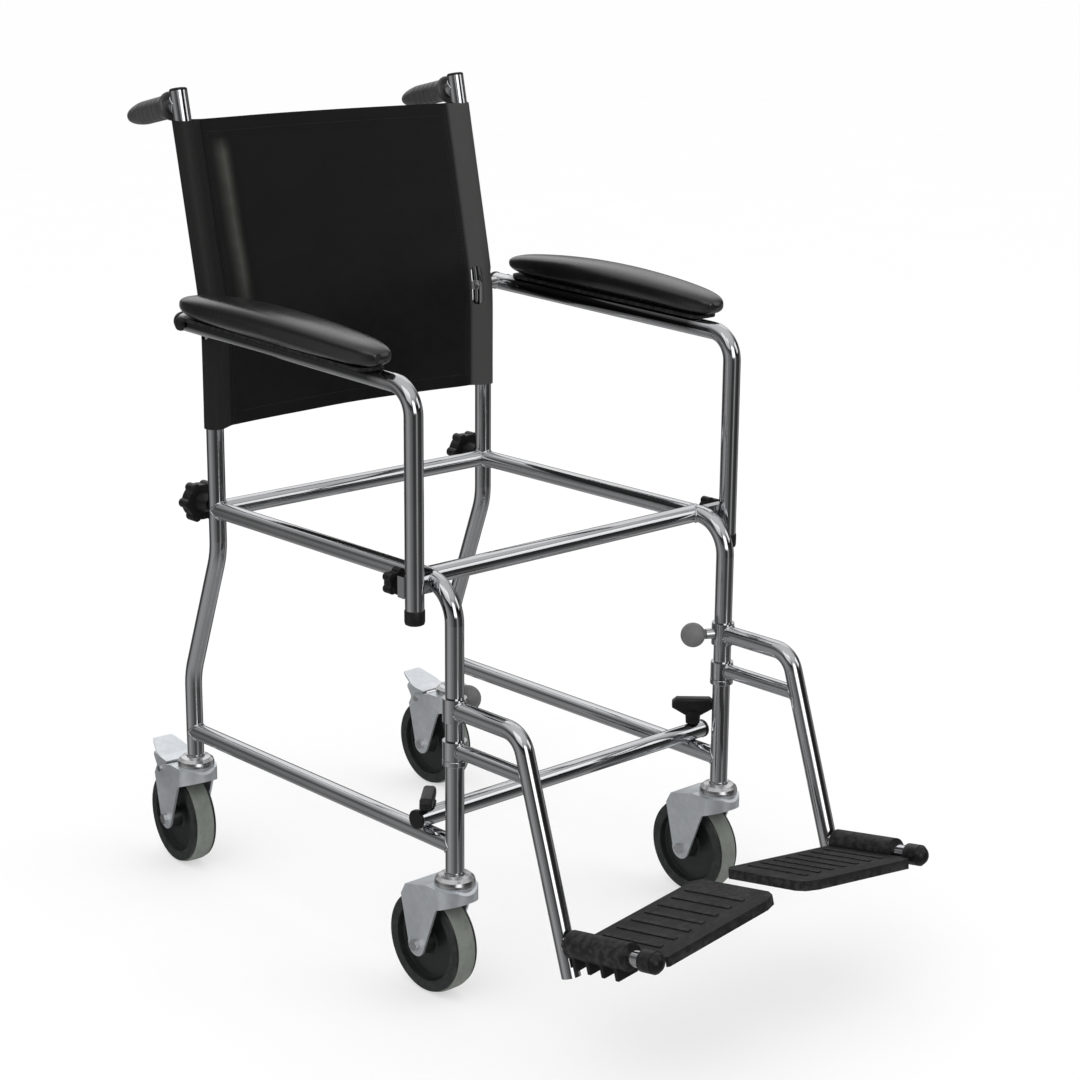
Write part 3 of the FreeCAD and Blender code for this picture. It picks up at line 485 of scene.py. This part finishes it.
SEAM = 25.0
prof = []        # (side, kind, a): outline across the sling, right to left
prof += [("R", SEAM + 5.0, 1.75), ("R", SEAM + 1.0, 1.75)]
for k in range(1, 5):
    a = math.radians(62)
    p0 = np.array([SEAM + 1.0, 1.75])
    p1 = np.array([rs * math.cos(a), rs * math.sin(a)])
    q = p0 + (p1 - p0) * k / 5.0
    prof.append(("R", q[0], q[1]))
for k in range(0, 33):
    a = math.radians(62 + (298 - 62) * k / 32.0)
    prof.append(("R", rs * math.cos(a), rs * math.sin(a)))
for k in range(1, 6):
    a = math.radians(298)
    p0 = np.array([rs * math.cos(a), rs * math.sin(a)])
    p1 = np.array([SEAM, 0.0])
    q = p0 + (p1 - p0) * k / 5.0
    prof.append(("R", q[0], q[1]))
NP = 64
inner_w = HALF_W - SEAM
mid = [("P", -inner_w + 2 * inner_w * k / NP, 0.0) for k in range(1, NP)]
left = [("L", p[1], p[2]) for p in prof[::-1]]
prof = prof + mid + left
NV = 96
zs = [SL_LO + (SL_HI - SL_LO) * j / (NV - 1) for j in range(NV)]


def crease(x, z):
    """Small pulls in the cloth, mm: from the bolt slots and along the lower hem."""
    out = 0.0
    for sx in (-1, 1):
        dx = (x * sx) / inner_w              # 1 at that side
        dz = (z - 742.0) / 120.0
        out += 1.1 * max(0.0, dx) ** 3 * math.cos(9.0 * dz + 1.2 * sx) * math.exp(-dz * dz)
    out += 0.8 * math.sin(x / 31.0 + z / 57.0) * math.sin(x / 83.0 - z / 41.0 + 1.0)
    out += 0.9 * math.sin(x / 47.0 + 0.7) * math.exp(-((z - SL_LO) / 60.0) ** 2)
    out += 0.9 * math.sin(x / 39.0 + 2.1) * math.exp(-((z - SL_HI) / 50.0) ** 2)
    # the cloth has taken a soft upright fold beside the sitter's right sleeve
    up = 1.0 / (1.0 + math.exp(-(z - 735.0) / 22.0)) / (1.0 + math.exp((z - 955.0) / 9.0))
    out -= 3.4 * up * math.exp(-((x + 166.0 + 0.03 * (z - 850.0)) / 10.5) ** 2)
    out += 1.0 * up * math.exp(-((x + 141.0 + 0.03 * (z - 850.0)) / 14.0) ** 2)
    return out


def sling_point(p, z):
    side, a, c = p
    yc = up_line(z)
    if side == "R":
        return np.array([-HALF_W + a, yc + c, z])
    if side == "L":
        return np.array([HALF_W - a, yc + c, z])
    t = a / inner_w
    fade = 1 - t * t
    sag = 15.2 * fade
    mid_h = (z - SL_LO) / (SL_HI - SL_LO)
    sag += 2.4 * fade * math.sin(math.pi * mid_h)
    return np.array([a, yc + sag + crease(a, z) * min(1.0, 5.0 * fade), z])


G = np.array([[sling_point(p, z) for z in zs] for p in prof])
du = np.gradient(G, axis=0)
dv = np.gradient(G, axis=1)
NRM = np.cross(du, dv)
NRM /= np.linalg.norm(NRM, axis=2)[..., None]
TH = np.zeros((len(prof), NV))
for j, z in enumerate(zs):
    e = min(z - SL_LO, SL_HI - z)
    base = 1.45
    # folded hem: twice the cloth, with the fold rolled over at the very edge
    h = 1.05 if e < HEM else 1.05 * max(0.0, 1 - (e - HEM) / 1.6)
    groove = -0.5 * math.exp(-((e - (HEM - 3.0)) / 1.0) ** 2)
    TH[:, j] = base + h + groove
for i, p in enumerate(prof):
    if p[0] != "P":
        TH[i] = np.minimum(TH[i], 1.62)
    else:
        x = abs(p[1])
        s = inner_w - x
        if s < 9:
            TH[i] += -0.55 * math.exp(-((s - 4.5) / 1.1) ** 2)
A = G + NRM * TH[..., None] / 2
B = G - NRM * TH[..., None] / 2
n, m = len(prof), NV
verts = [W(*q) for q in A.reshape(-1, 3)] + [W(*q) for q in B.reshape(-1, 3)]
faces = grid_faces(n, m) + [f[::-1] for f in grid_faces(n, m, base=n * m)]
off = n * m
for i in range(n - 1):
    for j in (0, m - 1):
        a, b_ = i * m + j, (i + 1) * m + j
        faces.append((a, b_, b_ + off, a + off))
for j in range(m - 1):
    for i in (0, n - 1):
        a, b_ = i * m + j, i * m + j + 1
        faces.append((a, b_, b_ + off, a + off))
sling = new_object("back_sling_cloth", verts, faces)


def capsule_prism(name, x0, x1, yc, zc, half_h, r):
    """A slot-shaped cutter along X."""
    ring = []
    for k in range(33):
        a = math.pi * k / 32
        ring.append((r * math.cos(a), half_h + r * math.sin(a)))
    for k in range(33):
        a = math.pi + math.pi * k / 32
        ring.append((r * math.cos(a), -half_h + r * math.sin(a)))
    vs, k = [], len(ring)
    for x in (x0, x1):
        for (yy, zz) in ring:
            vs.append(W(x, yc + yy, zc + zz))
    fs = [[i, (i + 1) % k, (i + 1) % k + k, i + k] for i in range(k)] + [list(range(k)), list(range(k, 2 * k))]
    return new_object(name, vs, fs, False)


def cut(o, cutters):
    for c in cutters:
        md = o.modifiers.new("cut", "BOOLEAN")
        md.operation = "DIFFERENCE"
        md.solver = "EXACT"
        md.object = c
    dg = bpy.context.evaluated_depsgraph_get()
    me = bpy.data.meshes.new_from_object(o.evaluated_get(dg))
    old = o.data
    o.modifiers.clear()
    o.data = me
    bpy.data.meshes.remove(old)
    for c in cutters:
        cm = c.data
        bpy.data.objects.remove(c)
        bpy.data.meshes.remove(cm)
    for p in o.data.polygons:
        p.use_smooth = True


def front_slot(name, sx):
    """Cutter along Y that opens the sleeve on its inner side, where the nut is."""
    ring = []
    hw, hh = 6.5, 19.0
    for k in range(25):
        a = math.pi * k / 24
        ring.append((hw * math.cos(a), hh + hw * math.sin(a)))
    for k in range(25):
        a = math.pi + math.pi * k / 24
        ring.append((hw * math.cos(a), -hh + hw * math.sin(a)))
    vs, k = [], len(ring)
    for y in (UP_Y - 30, UP_Y + 30):
        for (xx, zz) in ring:
            vs.append(W(sx * (HALF_W - 14.5) + xx, y, 742.0 + zz))
    fs = [[i, (i + 1) % k, (i + 1) % k + k, i + k] for i in range(k)] + [list(range(k)), list(range(k, 2 * k))]
    return new_object(name, vs, fs, False)


cut(sling, [capsule_prism("c1", -HALF_W - 20, -HALF_W - 4, UP_Y + 0.6, 742, 15, 9),
            capsule_prism("c2", HALF_W + 4, HALF_W + 20, UP_Y + 0.6, 742, 15, 9),
            front_slot("c3", -1), front_slot("c4", 1)])
sharpen(sling, 50)
dress(sling, "black_vinyl_sling")
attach(sling, "chair_frame")
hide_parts("back_sling")

# stitching: two rows along each sleeve seam, one along each hem, on both faces
st_v, st_f = [], []


def stitch(p, d, nrm, length=2.6, w=0.34):
    p, d, nrm = (np.array(v, float) for v in (p, d, nrm))
    d /= np.linalg.norm(d)
    nrm /= np.linalg.norm(nrm)
    s = np.cross(d, nrm)
    base = len(st_v)
    for t, lift, ww in ((-0.5, -0.10, 0.55), (-0.25, 0.26, 1.0), (0.25, 0.26, 1.0), (0.5, -0.10, 0.55)):
        c = p + d * (t * length) + nrm * lift
        for k in range(6):
            a = math.pi * k / 3
            st_v.append(W(*(c + s * (w * ww * math.cos(a)) + nrm * (w * ww * math.sin(a) * 0.8))))
    for r in range(3):
        for k in range(6):
            a0 = base + r * 6 + k
            a1 = base + r * 6 + (k + 1) % 6
            st_f.append((a0, a1, a1 + 6, a0 + 6))
    st_f.append([base + k for k in range(6)])
    st_f.append([base + 18 + k for k in range(6)])


def panel(x, z):
    p = sling_point(("P", x, 0.0), z)
    ex = sling_point(("P", x + 1.0, 0.0), z) - p
    ez = sling_point(("P", x, 0.0), z + 1.0) - p
    nr = np.cross(ex, ez)
    nr /= np.linalg.norm(nr)
    return p, ex, ez, nr


for sx in (-1, 1):
    for inset in (2.6, 6.4):
        z = SL_LO + 6
        while z < SL_HI - 6:
            if abs(z - 742) > 28:
                x = sx * (inner_w - inset)
                p, ex, ez, nr = panel(x, z)
                for f in (1, -1):
                    stitch(p + nr * f * 0.74, ez, nr * f)
            z += 4.2
for z in (SL_LO + HEM - 3.0, SL_HI - HEM + 3.0):
    x = -inner_w + 12
    while x < inner_w - 12:
        p, ex, ez, nr = panel(x, z)
        for f in (1, -1):
            stitch(p + nr * f * 0.98, ex, nr * f)
        x += 4.2
threads = new_object("back_sling_stitching", st_v, st_f)
dress(threads, "thread")
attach(threads, "chair_frame")

# ------------------------------------------------------------ armrest pads
PIV = np.array([250.0, 742.0])
SL2 = math.radians(2.0)


def arm_frame(x, s, h):
    """x across, s forward from the pivot, h above the armrest tube's centre line, mm."""
    y = PIV[0] - s * math.cos(SL2) - h * math.sin(SL2)
    z = PIV[1] - s * math.sin(SL2) + h * math.cos(SL2)
    return W(x, y, z)


# y, outboard and inboard half width, underside and crown above the base board, mm
PAD_STATIONS = np.array([
    (-141.5, 8, 8, 9.0, 17.0), (-139.5, 13, 13, 5.5, 20.5), (-134, 18, 17, 2.0, 24.0), (-124, 23, 20.5, -0.5, 27.0), (-106, 27.5, 23.5, -1.5, 30.0),
    (-70, 32, 25.5, -1.5, 33.5), (-20, 35, 26, -1.5, 36.5), (40, 36, 26, -1.5, 38.0), (100, 34.5, 25.5, -1.5, 37.0),
    (155, 30.5, 24, -1.5, 33.5), (198, 25, 21, -1.0, 29.0), (220, 20, 17.5, 1.0, 25.5), (232, 15, 14, 4.0, 22.0), (238, 10, 10, 7.5, 18.5),
    (240, 6, 6, 9.5, 16.0)])


def catmull(P, per):
    """Smooth run through the stations, closer together where the pad's ends turn in."""
    out = []
    Q = np.vstack([2 * P[0] - P[1], P, 2 * P[-1] - P[-2]])
    for i in range(1, len(Q) - 2):
        p0, p1, p2, p3 = Q[i - 1:i + 3]
        d0 = max(np.linalg.norm(p1 - p0), 1e-6) ** 0.5
        d1 = max(np.linalg.norm(p2 - p1), 1e-6) ** 0.5
        d2 = max(np.linalg.norm(p3 - p2), 1e-6) ** 0.5
        m1 = ((p1 - p0) / d0 - (p2 - p0) / (d0 + d1) + (p2 - p1) / d1) * d1
        m2_ = ((p2 - p1) / d1 - (p3 - p1) / (d1 + d2) + (p3 - p2) / d2) * d1
        for k in range(per):
            t = k / per
            out.append((2 * t ** 3 - 3 * t ** 2 + 1) * p1 + (t ** 3 - 2 * t ** 2 + t) * m1
                       + (-2 * t ** 3 + 3 * t ** 2) * p2 + (t ** 3 - t ** 2) * m2_)
    out.append(P[-1])
    return np.array(out)


def make_pad(side, sx):
    rings = catmull(PAD_STATIONS, 9)
    # close both noses with small rounded caps
    a, b_ = rings[0].copy(), rings[-1].copy()
    head = [np.array([a[0] - dy, a[1] * f, a[2] * f, (a[3] + a[4]) / 2 - (a[4] - a[3]) / 2 * f, (a[3] + a[4]) / 2 + (a[4] - a[3]) / 2 * f])
            for dy, f in ((0.95, 0.12), (0.9, 0.35), (0.7, 0.62), (0.35, 0.85))]
    tail = [np.array([b_[0] + dy, b_[1] * f, b_[2] * f, (b_[3] + b_[4]) / 2 - (b_[4] - b_[3]) / 2 * f, (b_[3] + b_[4]) / 2 + (b_[4] - b_[3]) / 2 * f])
            for dy, f in ((0.35, 0.85), (0.7, 0.62), (0.9, 0.35), (0.95, 0.12))]
    rings = np.vstack([head, rings, tail])
    NR = 72
    inset = 0.9          # the cloth run fills this back out
    vs = []
    for st in rings:
        y, wo, wi, z0, z1 = st
        cx = 266.0 + (wo - wi) / 2.0
        hw = max((wo + wi) / 2.0 - inset, 0.5)
        cz = (z0 + z1) / 2.0
        hh = max((z1 - z0) / 2.0 - inset, 0.35)
        for r in range(NR):
            t = 2 * math.pi * (r + 0.5) / NR
            c, d = math.cos(t), math.sin(t)
            px = math.copysign(abs(c) ** 0.72, c) * hw
            pz = cz + math.copysign(abs(d) ** 0.72, d) * hh
            vs.append(arm_frame(sx * (cx + px), 250.0 - y, 15.05 + max(pz, 0.0)))
    fs = grid_faces(len(rings), NR, False, True)
    fs += [list(range(NR)), [(len(rings) - 1) * NR + k for k in range(NR)]]
    return new_object("armrest_pad_foam_" + side, vs, fs)


def soften_by_cloth(o, cap, floor_test):
    """Fills the foam skin out with a cloth run, each point held to `cap` m of its start; the glued underside stays put."""
    start = np.array([v.co[:] for v in o.data.vertices])
    c = o.modifiers.new("swell", "CLOTH")
    st = c.settings
    st.quality = 6
    st.mass = 0.3
    st.use_pressure = True
    st.uniform_pressure_force = 4.0
    st.tension_stiffness = 30
    st.compression_stiffness = 30
    st.shear_stiffness = 12
    st.bending_stiffness = 4
    st.effector_weights.gravity = 0.0
    c.collision_settings.use_self_collision = False
    c.collision_settings.use_collision = False
    c.point_cache.frame_start = 1
    c.point_cache.frame_end = 20
    for f in range(1, 21):
        scene.frame_set(f)
    dg = bpy.context.evaluated_depsgraph_get()
    ev = o.evaluated_get(dg)
    me = bpy.data.meshes.new_from_object(ev)
    now = np.array([v.co[:] for v in me.vertices])
    d = now - start
    ln = np.linalg.norm(d, axis=1)
    d *= np.minimum(1.0, cap / np.maximum(ln, 1e-9))[:, None]
    ed = np.array([e.vertices[:] for e in me.edges])
    deg = np.bincount(ed.ravel(), minlength=len(d)).astype(float)[:, None]
    for _ in range(6):
        acc = np.zeros_like(d)
        np.add.at(acc, ed[:, 0], d[ed[:, 1]])
        np.add.at(acc, ed[:, 1], d[ed[:, 0]])
        d = 0.5 * d + 0.5 * acc / deg
    o.modifiers.clear()
    bpy.data.meshes.remove(me)
    for i, v in enumerate(o.data.vertices):
        hold = floor_test(start[i])
        v.co = start[i] + d[i] * (1.0 - hold)
    scene.frame_set(1)


SH = SHIFT


def held(q):
    """1 where the skin is glued to the base board, 0 from 4 mm above it."""
    y, z = q[1] * 1000.0 - SH - PIV[0], q[2] * 1000.0 - PIV[1]
    h = z * math.cos(SL2) - y * math.sin(SL2)
    return min(1.0, max(0.0, (19.5 - h) / 4.0))


for side, sx in (("right", -1), ("left", 1)):
    pad = make_pad(side, sx)
    soften_by_cloth(pad, 0.0011, held)
    dress(pad, "black_pad")
    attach(pad, "armrest_" + side)
    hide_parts("armrest_pad_" + side)

# black plugs on the lower ends of the armrest posts and the rear ends of the armrest tubes
for side, sx in (("right", -1), ("left", 1)):
    pr = [(0.0, 0.0), (7.0, 0.1), (9.4, 0.7), (10.8, 1.8), (11.6, 3.4), (11.8, 5.4), (11.8, 17.0), (11.5, 17.8), (11.06, 18.0), (11.06, 1.65), (0.0, 1.6)]
    g = lathe("armrest_post_plug_" + side, pr, W(sx * 254.7, -179.0, 456.4), (0, 0, 1), 56)
    sharpen(g, 50)
    dress(g, "black_plastic")
    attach(g, "armrest_" + side)
    pr = [(0.0, 7.6), (4.5, 7.2), (8.0, 6.0), (10.3, 4.0), (11.5, 1.4), (11.8, -0.4), (11.8, -2.6), (11.5, -3.2), (11.06, -3.4), (11.06, 0.05), (0.0, 0.05)]
    cap = [(0.0, 6.2), (3.4, 5.9), (6.2, 4.9), (8.0, 3.2), (8.7, 1.4), (8.7, 0.1), (7.7, 0.1), (7.7, 4.0), (0.0, 4.2)]
    g = lathe("armrest_bolt_cap_" + side, cap, arm_frame(sx * (254.7 + 11.3), 0.0, 0.0), (sx, 0, 0), 40)
    sharpen(g, 50)
    dress(g, "black_plastic")
    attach(g, "chair_frame")
    g = lathe("armrest_tube_plug_" + side, pr, arm_frame(sx * 254.7, -13.0, 0.0), (0, math.cos(SL2), math.sin(SL2)), 56)
    sharpen(g, 50)
    dress(g, "black_plastic")
    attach(g, "armrest_" + side)

# --------------------------------------------------------------- push grips
root_y = UP_Y + (1000.0 - BEND_Z) * math.tan(LEAN)
hd = np.array([0, math.cos(LEAN), -math.sin(LEAN)])
for side, sx in (("right", -1), ("left", 1)):
    o0 = np.array([sx * HALF_W, root_y, 1000.0])
    org = W(*o0)
    pr = [(11.06, 17.0), (14.6, 17.05), (16.9, 17.7), (17.8, 19.2), (17.8, 20.6), (17.2, 22.2), (15.7, 24.2), (15.0, 26.4), (14.8, 28.0)]
    for k in range(5):
        s = 33.0 + 10.0 * k
        r0 = 14.75 - 0.06 * k
        pr += [(r0, s - 2.2), (r0, s), (r0 - 0.35, s + 0.7), (r0 - 0.55, s + 1.2), (r0 - 0.55, s + 1.9), (r0 - 0.35, s + 2.4), (r0 - 0.03, s + 3.1)]
    pr += [(14.3, 79.5), (13.9, 84.0), (13.1, 89.0), (12.2, 94.0), (11.1, 99.0), (9.6, 104.0), (8.0, 108.0), (6.0, 111.2), (3.4, 113.4), (1.2, 114.0),
           (0.0, 114.0), (0.0, 88.3), (11.06, 88.3)]

    def flutes(t, k, r, h):
        # shallow finger scallops
        if r < 11.2 or h < 27 or h > 84:
            return 1.0
        return 1.0 - 0.012 * (0.5 + 0.5 * math.cos(8 * t))

    g = lathe("push_grip_moulding_" + side, pr, org, hd, 72, flutes)
    sharpen(g, 45)
    dress(g, "black_grip")
    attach(g, "chair_frame")
    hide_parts("push_grip_" + side)

# -------------------------------------------------------------------- tyres
CASTORS = {"front_right": (-HALF_W, LEG_Y, 0.0), "front_left": (HALF_W, LEG_Y, 0.0),
           "rear_right": (-HALF_W, REAR_Y, -6.0), "rear_left": (HALF_W, REAR_Y, 0.0)}
for nm, (cx, cy, deg) in CASTORS.items():
    a = math.radians(deg)
    c = W(cx - 39 * math.sin(a), cy + 39 * math.cos(a), 62.5)
    ax = np.array([math.cos(a), math.sin(a), 0])
    pr = [(56.05, -12.45), (59.6, -12.5), (60.5, -12.35), (61.2, -11.8), (61.8, -10.8), (62.2, -9.4), (62.4, -7.6), (62.48, -5.0),
          (62.5, -0.9), (62.42, -0.45), (62.42, 0.45), (62.5, 0.9), (62.48, 5.0), (62.4, 7.6), (62.2, 9.4), (61.8, 10.8),
          (61.2, 11.8), (60.5, 12.35), (59.6, 12.5), (56.05, 12.45)]
    t = ring_lathe("tyre_tread_" + nm, pr, c, ax, 144)
    dress(t, "grey_tyre")
    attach(t, f"castor_{nm}_wheel")
    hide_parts(f"castor_{nm}_tyre")

# -------------------------------------------------------------- weld beads
beads = []


def saddle(parent_c, parent_d, child_c, child_d, R, r, bead=1.5):
    """Bead where a tube (radius r) meets the side of a parent tube (radius R); mm."""
    pd = np.array(parent_d, float)
    pd /= np.linalg.norm(pd)
    cd = np.array(child_d, float)
    cd /= np.linalg.norm(cd)
    pc, cc = np.array(parent_c, float), np.array(child_c, float)
    _, u, v = basis(cd)
    pts = []
    for k in range(64):
        a = 2 * math.pi * k / 64
        p = cc + (u * math.cos(a) + v * math.sin(a)) * r
        w = p - pc
        w_perp = w - pd * (w @ pd)
        c_perp = cd - pd * (cd @ pd)
        A2 = c_perp @ c_perp
        B2 = 2 * (w_perp @ c_perp)
        C2 = w_perp @ w_perp - R * R
        disc = max(0.0, B2 * B2 - 4 * A2 * C2)
        s = (-B2 + math.sqrt(disc)) / (2 * A2)
        pts.append(W(*(p + cd * s)))
    return sweep("bead", pts, bead, 8, True)


for sx in (-1, 1):
    X = sx * HALF_W
    fwd = (0, -1, 0)
    inn = (-sx, 0, 0)
    beads.append(saddle((X, UP_Y, SEAT_Z), (0, 0, 1), (X, UP_Y, SEAT_Z), fwd, 11, 11))
    beads.append(saddle((X, UP_Y, SEAT_Z), (0, 0, 1), (X, UP_Y, SEAT_Z), inn, 11, 11))
    beads.append(saddle((X, REAR_Y, LOW_Z), (0, 0, 1), (X, REAR_Y, LOW_Z), fwd, 11, 11))
    beads.append(saddle((X, LEG_Y, LOW_Z), (0, 0, 1), (X, LEG_Y, LOW_Z), (0, 1, 0), 11, 11))
    beads.append(saddle((X, -156, SEAT_Z), (0, 1, 0), (X, -156, SEAT_Z), inn, 11, 11))
    beads.append(saddle((X, root_y, 1000), (0, math.sin(LEAN), math.cos(LEAN)), (X, root_y, 1000), tuple(hd), 11, 11))
frame_beads = join(beads, "frame_weld_beads")
dress(frame_beads, "chromed_tube")
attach(frame_beads, "chair_frame")
down = np.array([0, -85.0, -260.0])
for side, sx in (("right", -1), ("left", 1)):
    X = sx * HALF_W
    hb = [saddle((X, LEG_Y, 357), (0, 0, 1), (X, LEG_Y, 357), (0, -1, 0), 14.2, 11, 1.3),
          saddle((X, LEG_Y, 309), (0, 0, 1), (X, LEG_Y, 309), (0, -1, 0), 14.2, 9, 1.2),
          saddle((X, -320, 357), tuple(down), (X, -335.7, 309), (0, 1, 0), 11, 9, 1.2),
          saddle((X, -320, 357), tuple(down), (X, -392.9, 134), (0, -math.cos(math.radians(10)), math.sin(math.radians(10))), 11, 9.5, 1.2)]
    o = join(hb, "hanger_weld_beads_" + side)
    dress(o, "chromed_tube")
    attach(o, "footrest_" + side)

# ------------------------------------------------------------ floor, light
def floor_material():
    m, nt, b, co = shader("studio_floor")
    n1 = noise(nt, co, 3.0, 6.0)
    c = mix_color(nt, remap(nt, n1, 0.0, 1.0), (0.975, 0.975, 0.975), (0.988, 0.988, 0.988))
    nt.links.new(c, b.inputs["Base Color"])
    b.inputs["Roughness"].default_value = 0.9
    b.inputs["Specular IOR Level"].default_value = 0.0
    lp = node(nt, "ShaderNodeLightPath")
    tr = node(nt, "ShaderNodeBsdfTransparent")
    mx = node(nt, "ShaderNodeMixShader")
    # a faintly back-lit table: half of its white is its own, so shadows on it stay light
    em = node(nt, "ShaderNodeEmission")
    em.inputs["Color"].default_value = (1.0, 1.0, 1.0, 1.0)
    em.inputs["Strength"].default_value = 1.0
    half = node(nt, "ShaderNodeMixShader")
    half.inputs[0].default_value = 0.5
    nt.links.new(b.outputs[0], half.inputs[1])
    nt.links.new(em.outputs[0], half.inputs[2])
    nt.links.new(lp.outputs["Is Glossy Ray"], mx.inputs[0])
    nt.links.new(half.outputs[0], mx.inputs[1])
    nt.links.new(tr.outputs[0], mx.inputs[2])
    nt.links.new(mx.outputs[0], nt.nodes["Material Output"].inputs["Surface"])
    return m


s = 90.0
fl = new_object("studio_floor", [(-s, -s, -0.0004), (s, -s, -0.0004), (s, s, -0.0004), (-s, s, -0.0004)], [(0, 1, 2, 3)], False)
fl.data.materials.append(floor_material())

w = bpy.data.worlds.new("studio")
scene.world = w
w.use_nodes = True
nt = w.node_tree
for n in list(nt.nodes):
    nt.nodes.remove(n)
out = nt.nodes.new("ShaderNodeOutputWorld")
tc = nt.nodes.new("ShaderNodeTexCoord")
sp = nt.nodes.new("ShaderNodeSeparateXYZ")
nt.links.new(tc.outputs["Generated"], sp.inputs["Vector"])


def stops_ramp(fac, stops, mode="EASE"):
    rp = nt.nodes.new("ShaderNodeValToRGB")
    rp.color_ramp.interpolation = mode
    el = rp.color_ramp.elements
    while len(el) > 1:
        el.remove(el[-1])
    for i, (p, c) in enumerate(stops):
        e = el[0] if i == 0 else el.new(p)
        e.position = p
        e.color = (c, c, c, 1)
    nt.links.new(fac, rp.inputs["Fac"])
    return rp.outputs["Color"]


def m2(op, a, b):
    n = nt.nodes.new("ShaderNodeMath")
    n.operation = op
    for i, v in enumerate((a, b)):
        if isinstance(v, (int, float)):
            n.inputs[i].default_value = v
        else:
            nt.links.new(v, n.inputs[i])
    return n.outputs[0]


height = m2("ADD", m2("MULTIPLY", sp.outputs["Z"], 0.5), 0.5)
around = m2("ADD", m2("MULTIPLY", m2("ARCTAN2", sp.outputs["Y"], sp.outputs["X"]), 1.0 / (2 * math.pi)), 0.5)


def az(deg):
    return ((deg + 180.0) % 360.0) / 360.0


# what polished surfaces see: tall soft boxes with dark card between them, a bright ceiling, a grey floor
cards = stops_ramp(around, [(0.0, 0.30), (az(-150), 0.16), (az(-128), 0.045), (az(-106), 0.05), (az(-97), 0.34), (az(-86), 0.34), (az(-78), 0.06),
                            (az(-45), 0.035), (az(-25), 0.08), (az(-14), 0.32), (az(0), 0.32), (az(10), 0.06), (az(45), 0.04),
                            (az(60), 0.26), (az(80), 0.26), (az(92), 0.06), (az(118), 0.045), (az(135), 0.30), (az(165), 0.42), (1.0, 0.30)])
side = stops_ramp(height, [(0.0, 0.2), (0.22, 0.7), (0.36, 1.0), (0.50, 1.0), (0.58, 0.35), (0.66, 0.0)])
level = stops_ramp(height, [(0.0, 0.34), (0.12, 0.26), (0.30, 0.08), (0.40, 0.0), (0.66, 0.0), (0.76, 0.25), (0.86, 0.70), (1.0, 0.80)])
behind = stops_ramp(around, [(0.0, 0.0), (az(0), 0.0), (az(22), 0.9), (az(78), 0.9), (az(105), 0.15), (1.0, 0.0)])
behind_h = stops_ramp(height, [(0.0, 0.0), (0.555, 0.0), (0.60, 0.75), (0.72, 1.0), (0.82, 0.6), (1.0, 0.0)])
flank = stops_ramp(around, [(0.0, 0.0), (az(-128), 0.0), (az(-116), 1.0), (az(-98), 1.0), (az(-88), 0.0), (1.0, 0.0)])
flank_h = stops_ramp(height, [(0.0, 0.0), (0.50, 0.0), (0.56, 1.0), (0.74, 1.0), (0.82, 0.0), (1.0, 0.0)])
seen = m2("ADD", m2("MULTIPLY", cards, side), level)
seen = m2("ADD", seen, m2("MULTIPLY", behind, behind_h))
seen = m2("ADD", seen, m2("MULTIPLY", m2("MULTIPLY", flank, flank_h), 2.4))
gloss = nt.nodes.new("ShaderNodeBackground")
nt.links.new(seen, gloss.inputs["Color"])
gloss.inputs["Strength"].default_value = 1.0
soft = nt.nodes.new("ShaderNodeBackground")
soft.inputs["Color"].default_value = (1.0, 1.0, 1.0, 1.0)
soft.inputs["Strength"].default_value = 1.0
lp = nt.nodes.new("ShaderNodeLightPath")
mx = nt.nodes.new("ShaderNodeMixShader")
nt.links.new(lp.outputs["Is Glossy Ray"], mx.inputs[0])
nt.links.new(soft.outputs[0], mx.inputs[1])
nt.links.new(gloss.outputs[0], mx.inputs[2])
nt.links.new(mx.outputs[0], out.inputs["Surface"])


def area(name, loc, target, size, power, size_y=None):
    l = bpy.data.lights.new(name, "AREA")
    l.energy = power
    l.size = size
    if size_y:
        l.shape = "RECTANGLE"
        l.size_y = size_y
    o = bpy.data.objects.new(name, l)
    scene.collection.objects.link(o)
    o.location = loc
    d = Vector(target) - Vector(loc)
    o.rotation_euler = d.to_track_quat("-Z", "Y").to_euler()
    return o


area("key", (-2.6, -1.2, 2.9), (0, 0, 0.5), 2.6, 15)
area("fill", (2.6, -2.6, 2.2), (0, 0, 0.5), 1.6, 10)
area("rim", (0.8, 3.0, 2.4), (0, 0, 0.6), 3.0, 4)

# ------------------------------------------------------------------- camera
cam_d = bpy.data.cameras.new("camera")
cam = bpy.data.objects.new("camera", cam_d)
scene.collection.objects.link(cam)
F_PX = 2370.0
cam_d.sensor_width = 36.0
cam_d.lens = F_PX / 1080.0 * 36.0
cam_d.clip_end = 500.0
az, elv, ro = (math.radians(v) for v in (-42.6354, 15.0536, 0.4579))
back = np.array([math.sin(az) * math.cos(elv), -math.cos(az) * math.cos(elv), math.sin(elv)])
right = np.cross(-back, [0, 0, 1.0])
right /= np.linalg.norm(right)
up = np.cross(right, -back)
Rv = right * math.cos(ro) + up * math.sin(ro)
Uv = -right * math.sin(ro) + up * math.cos(ro)
loc = W(-1871.81, -2141.39, 1239.21)
mt = Matrix(((Rv[0], Uv[0], back[0], loc[0]), (Rv[1], Uv[1], back[1], loc[1]), (Rv[2], Uv[2], back[2], loc[2]), (0, 0, 0, 1)))
cam.matrix_world = mt
scene.camera = cam
scene.view_settings.view_transform = "Standard"
scene.view_settings.look = "None"
scene.view_settings.exposure = 0.0
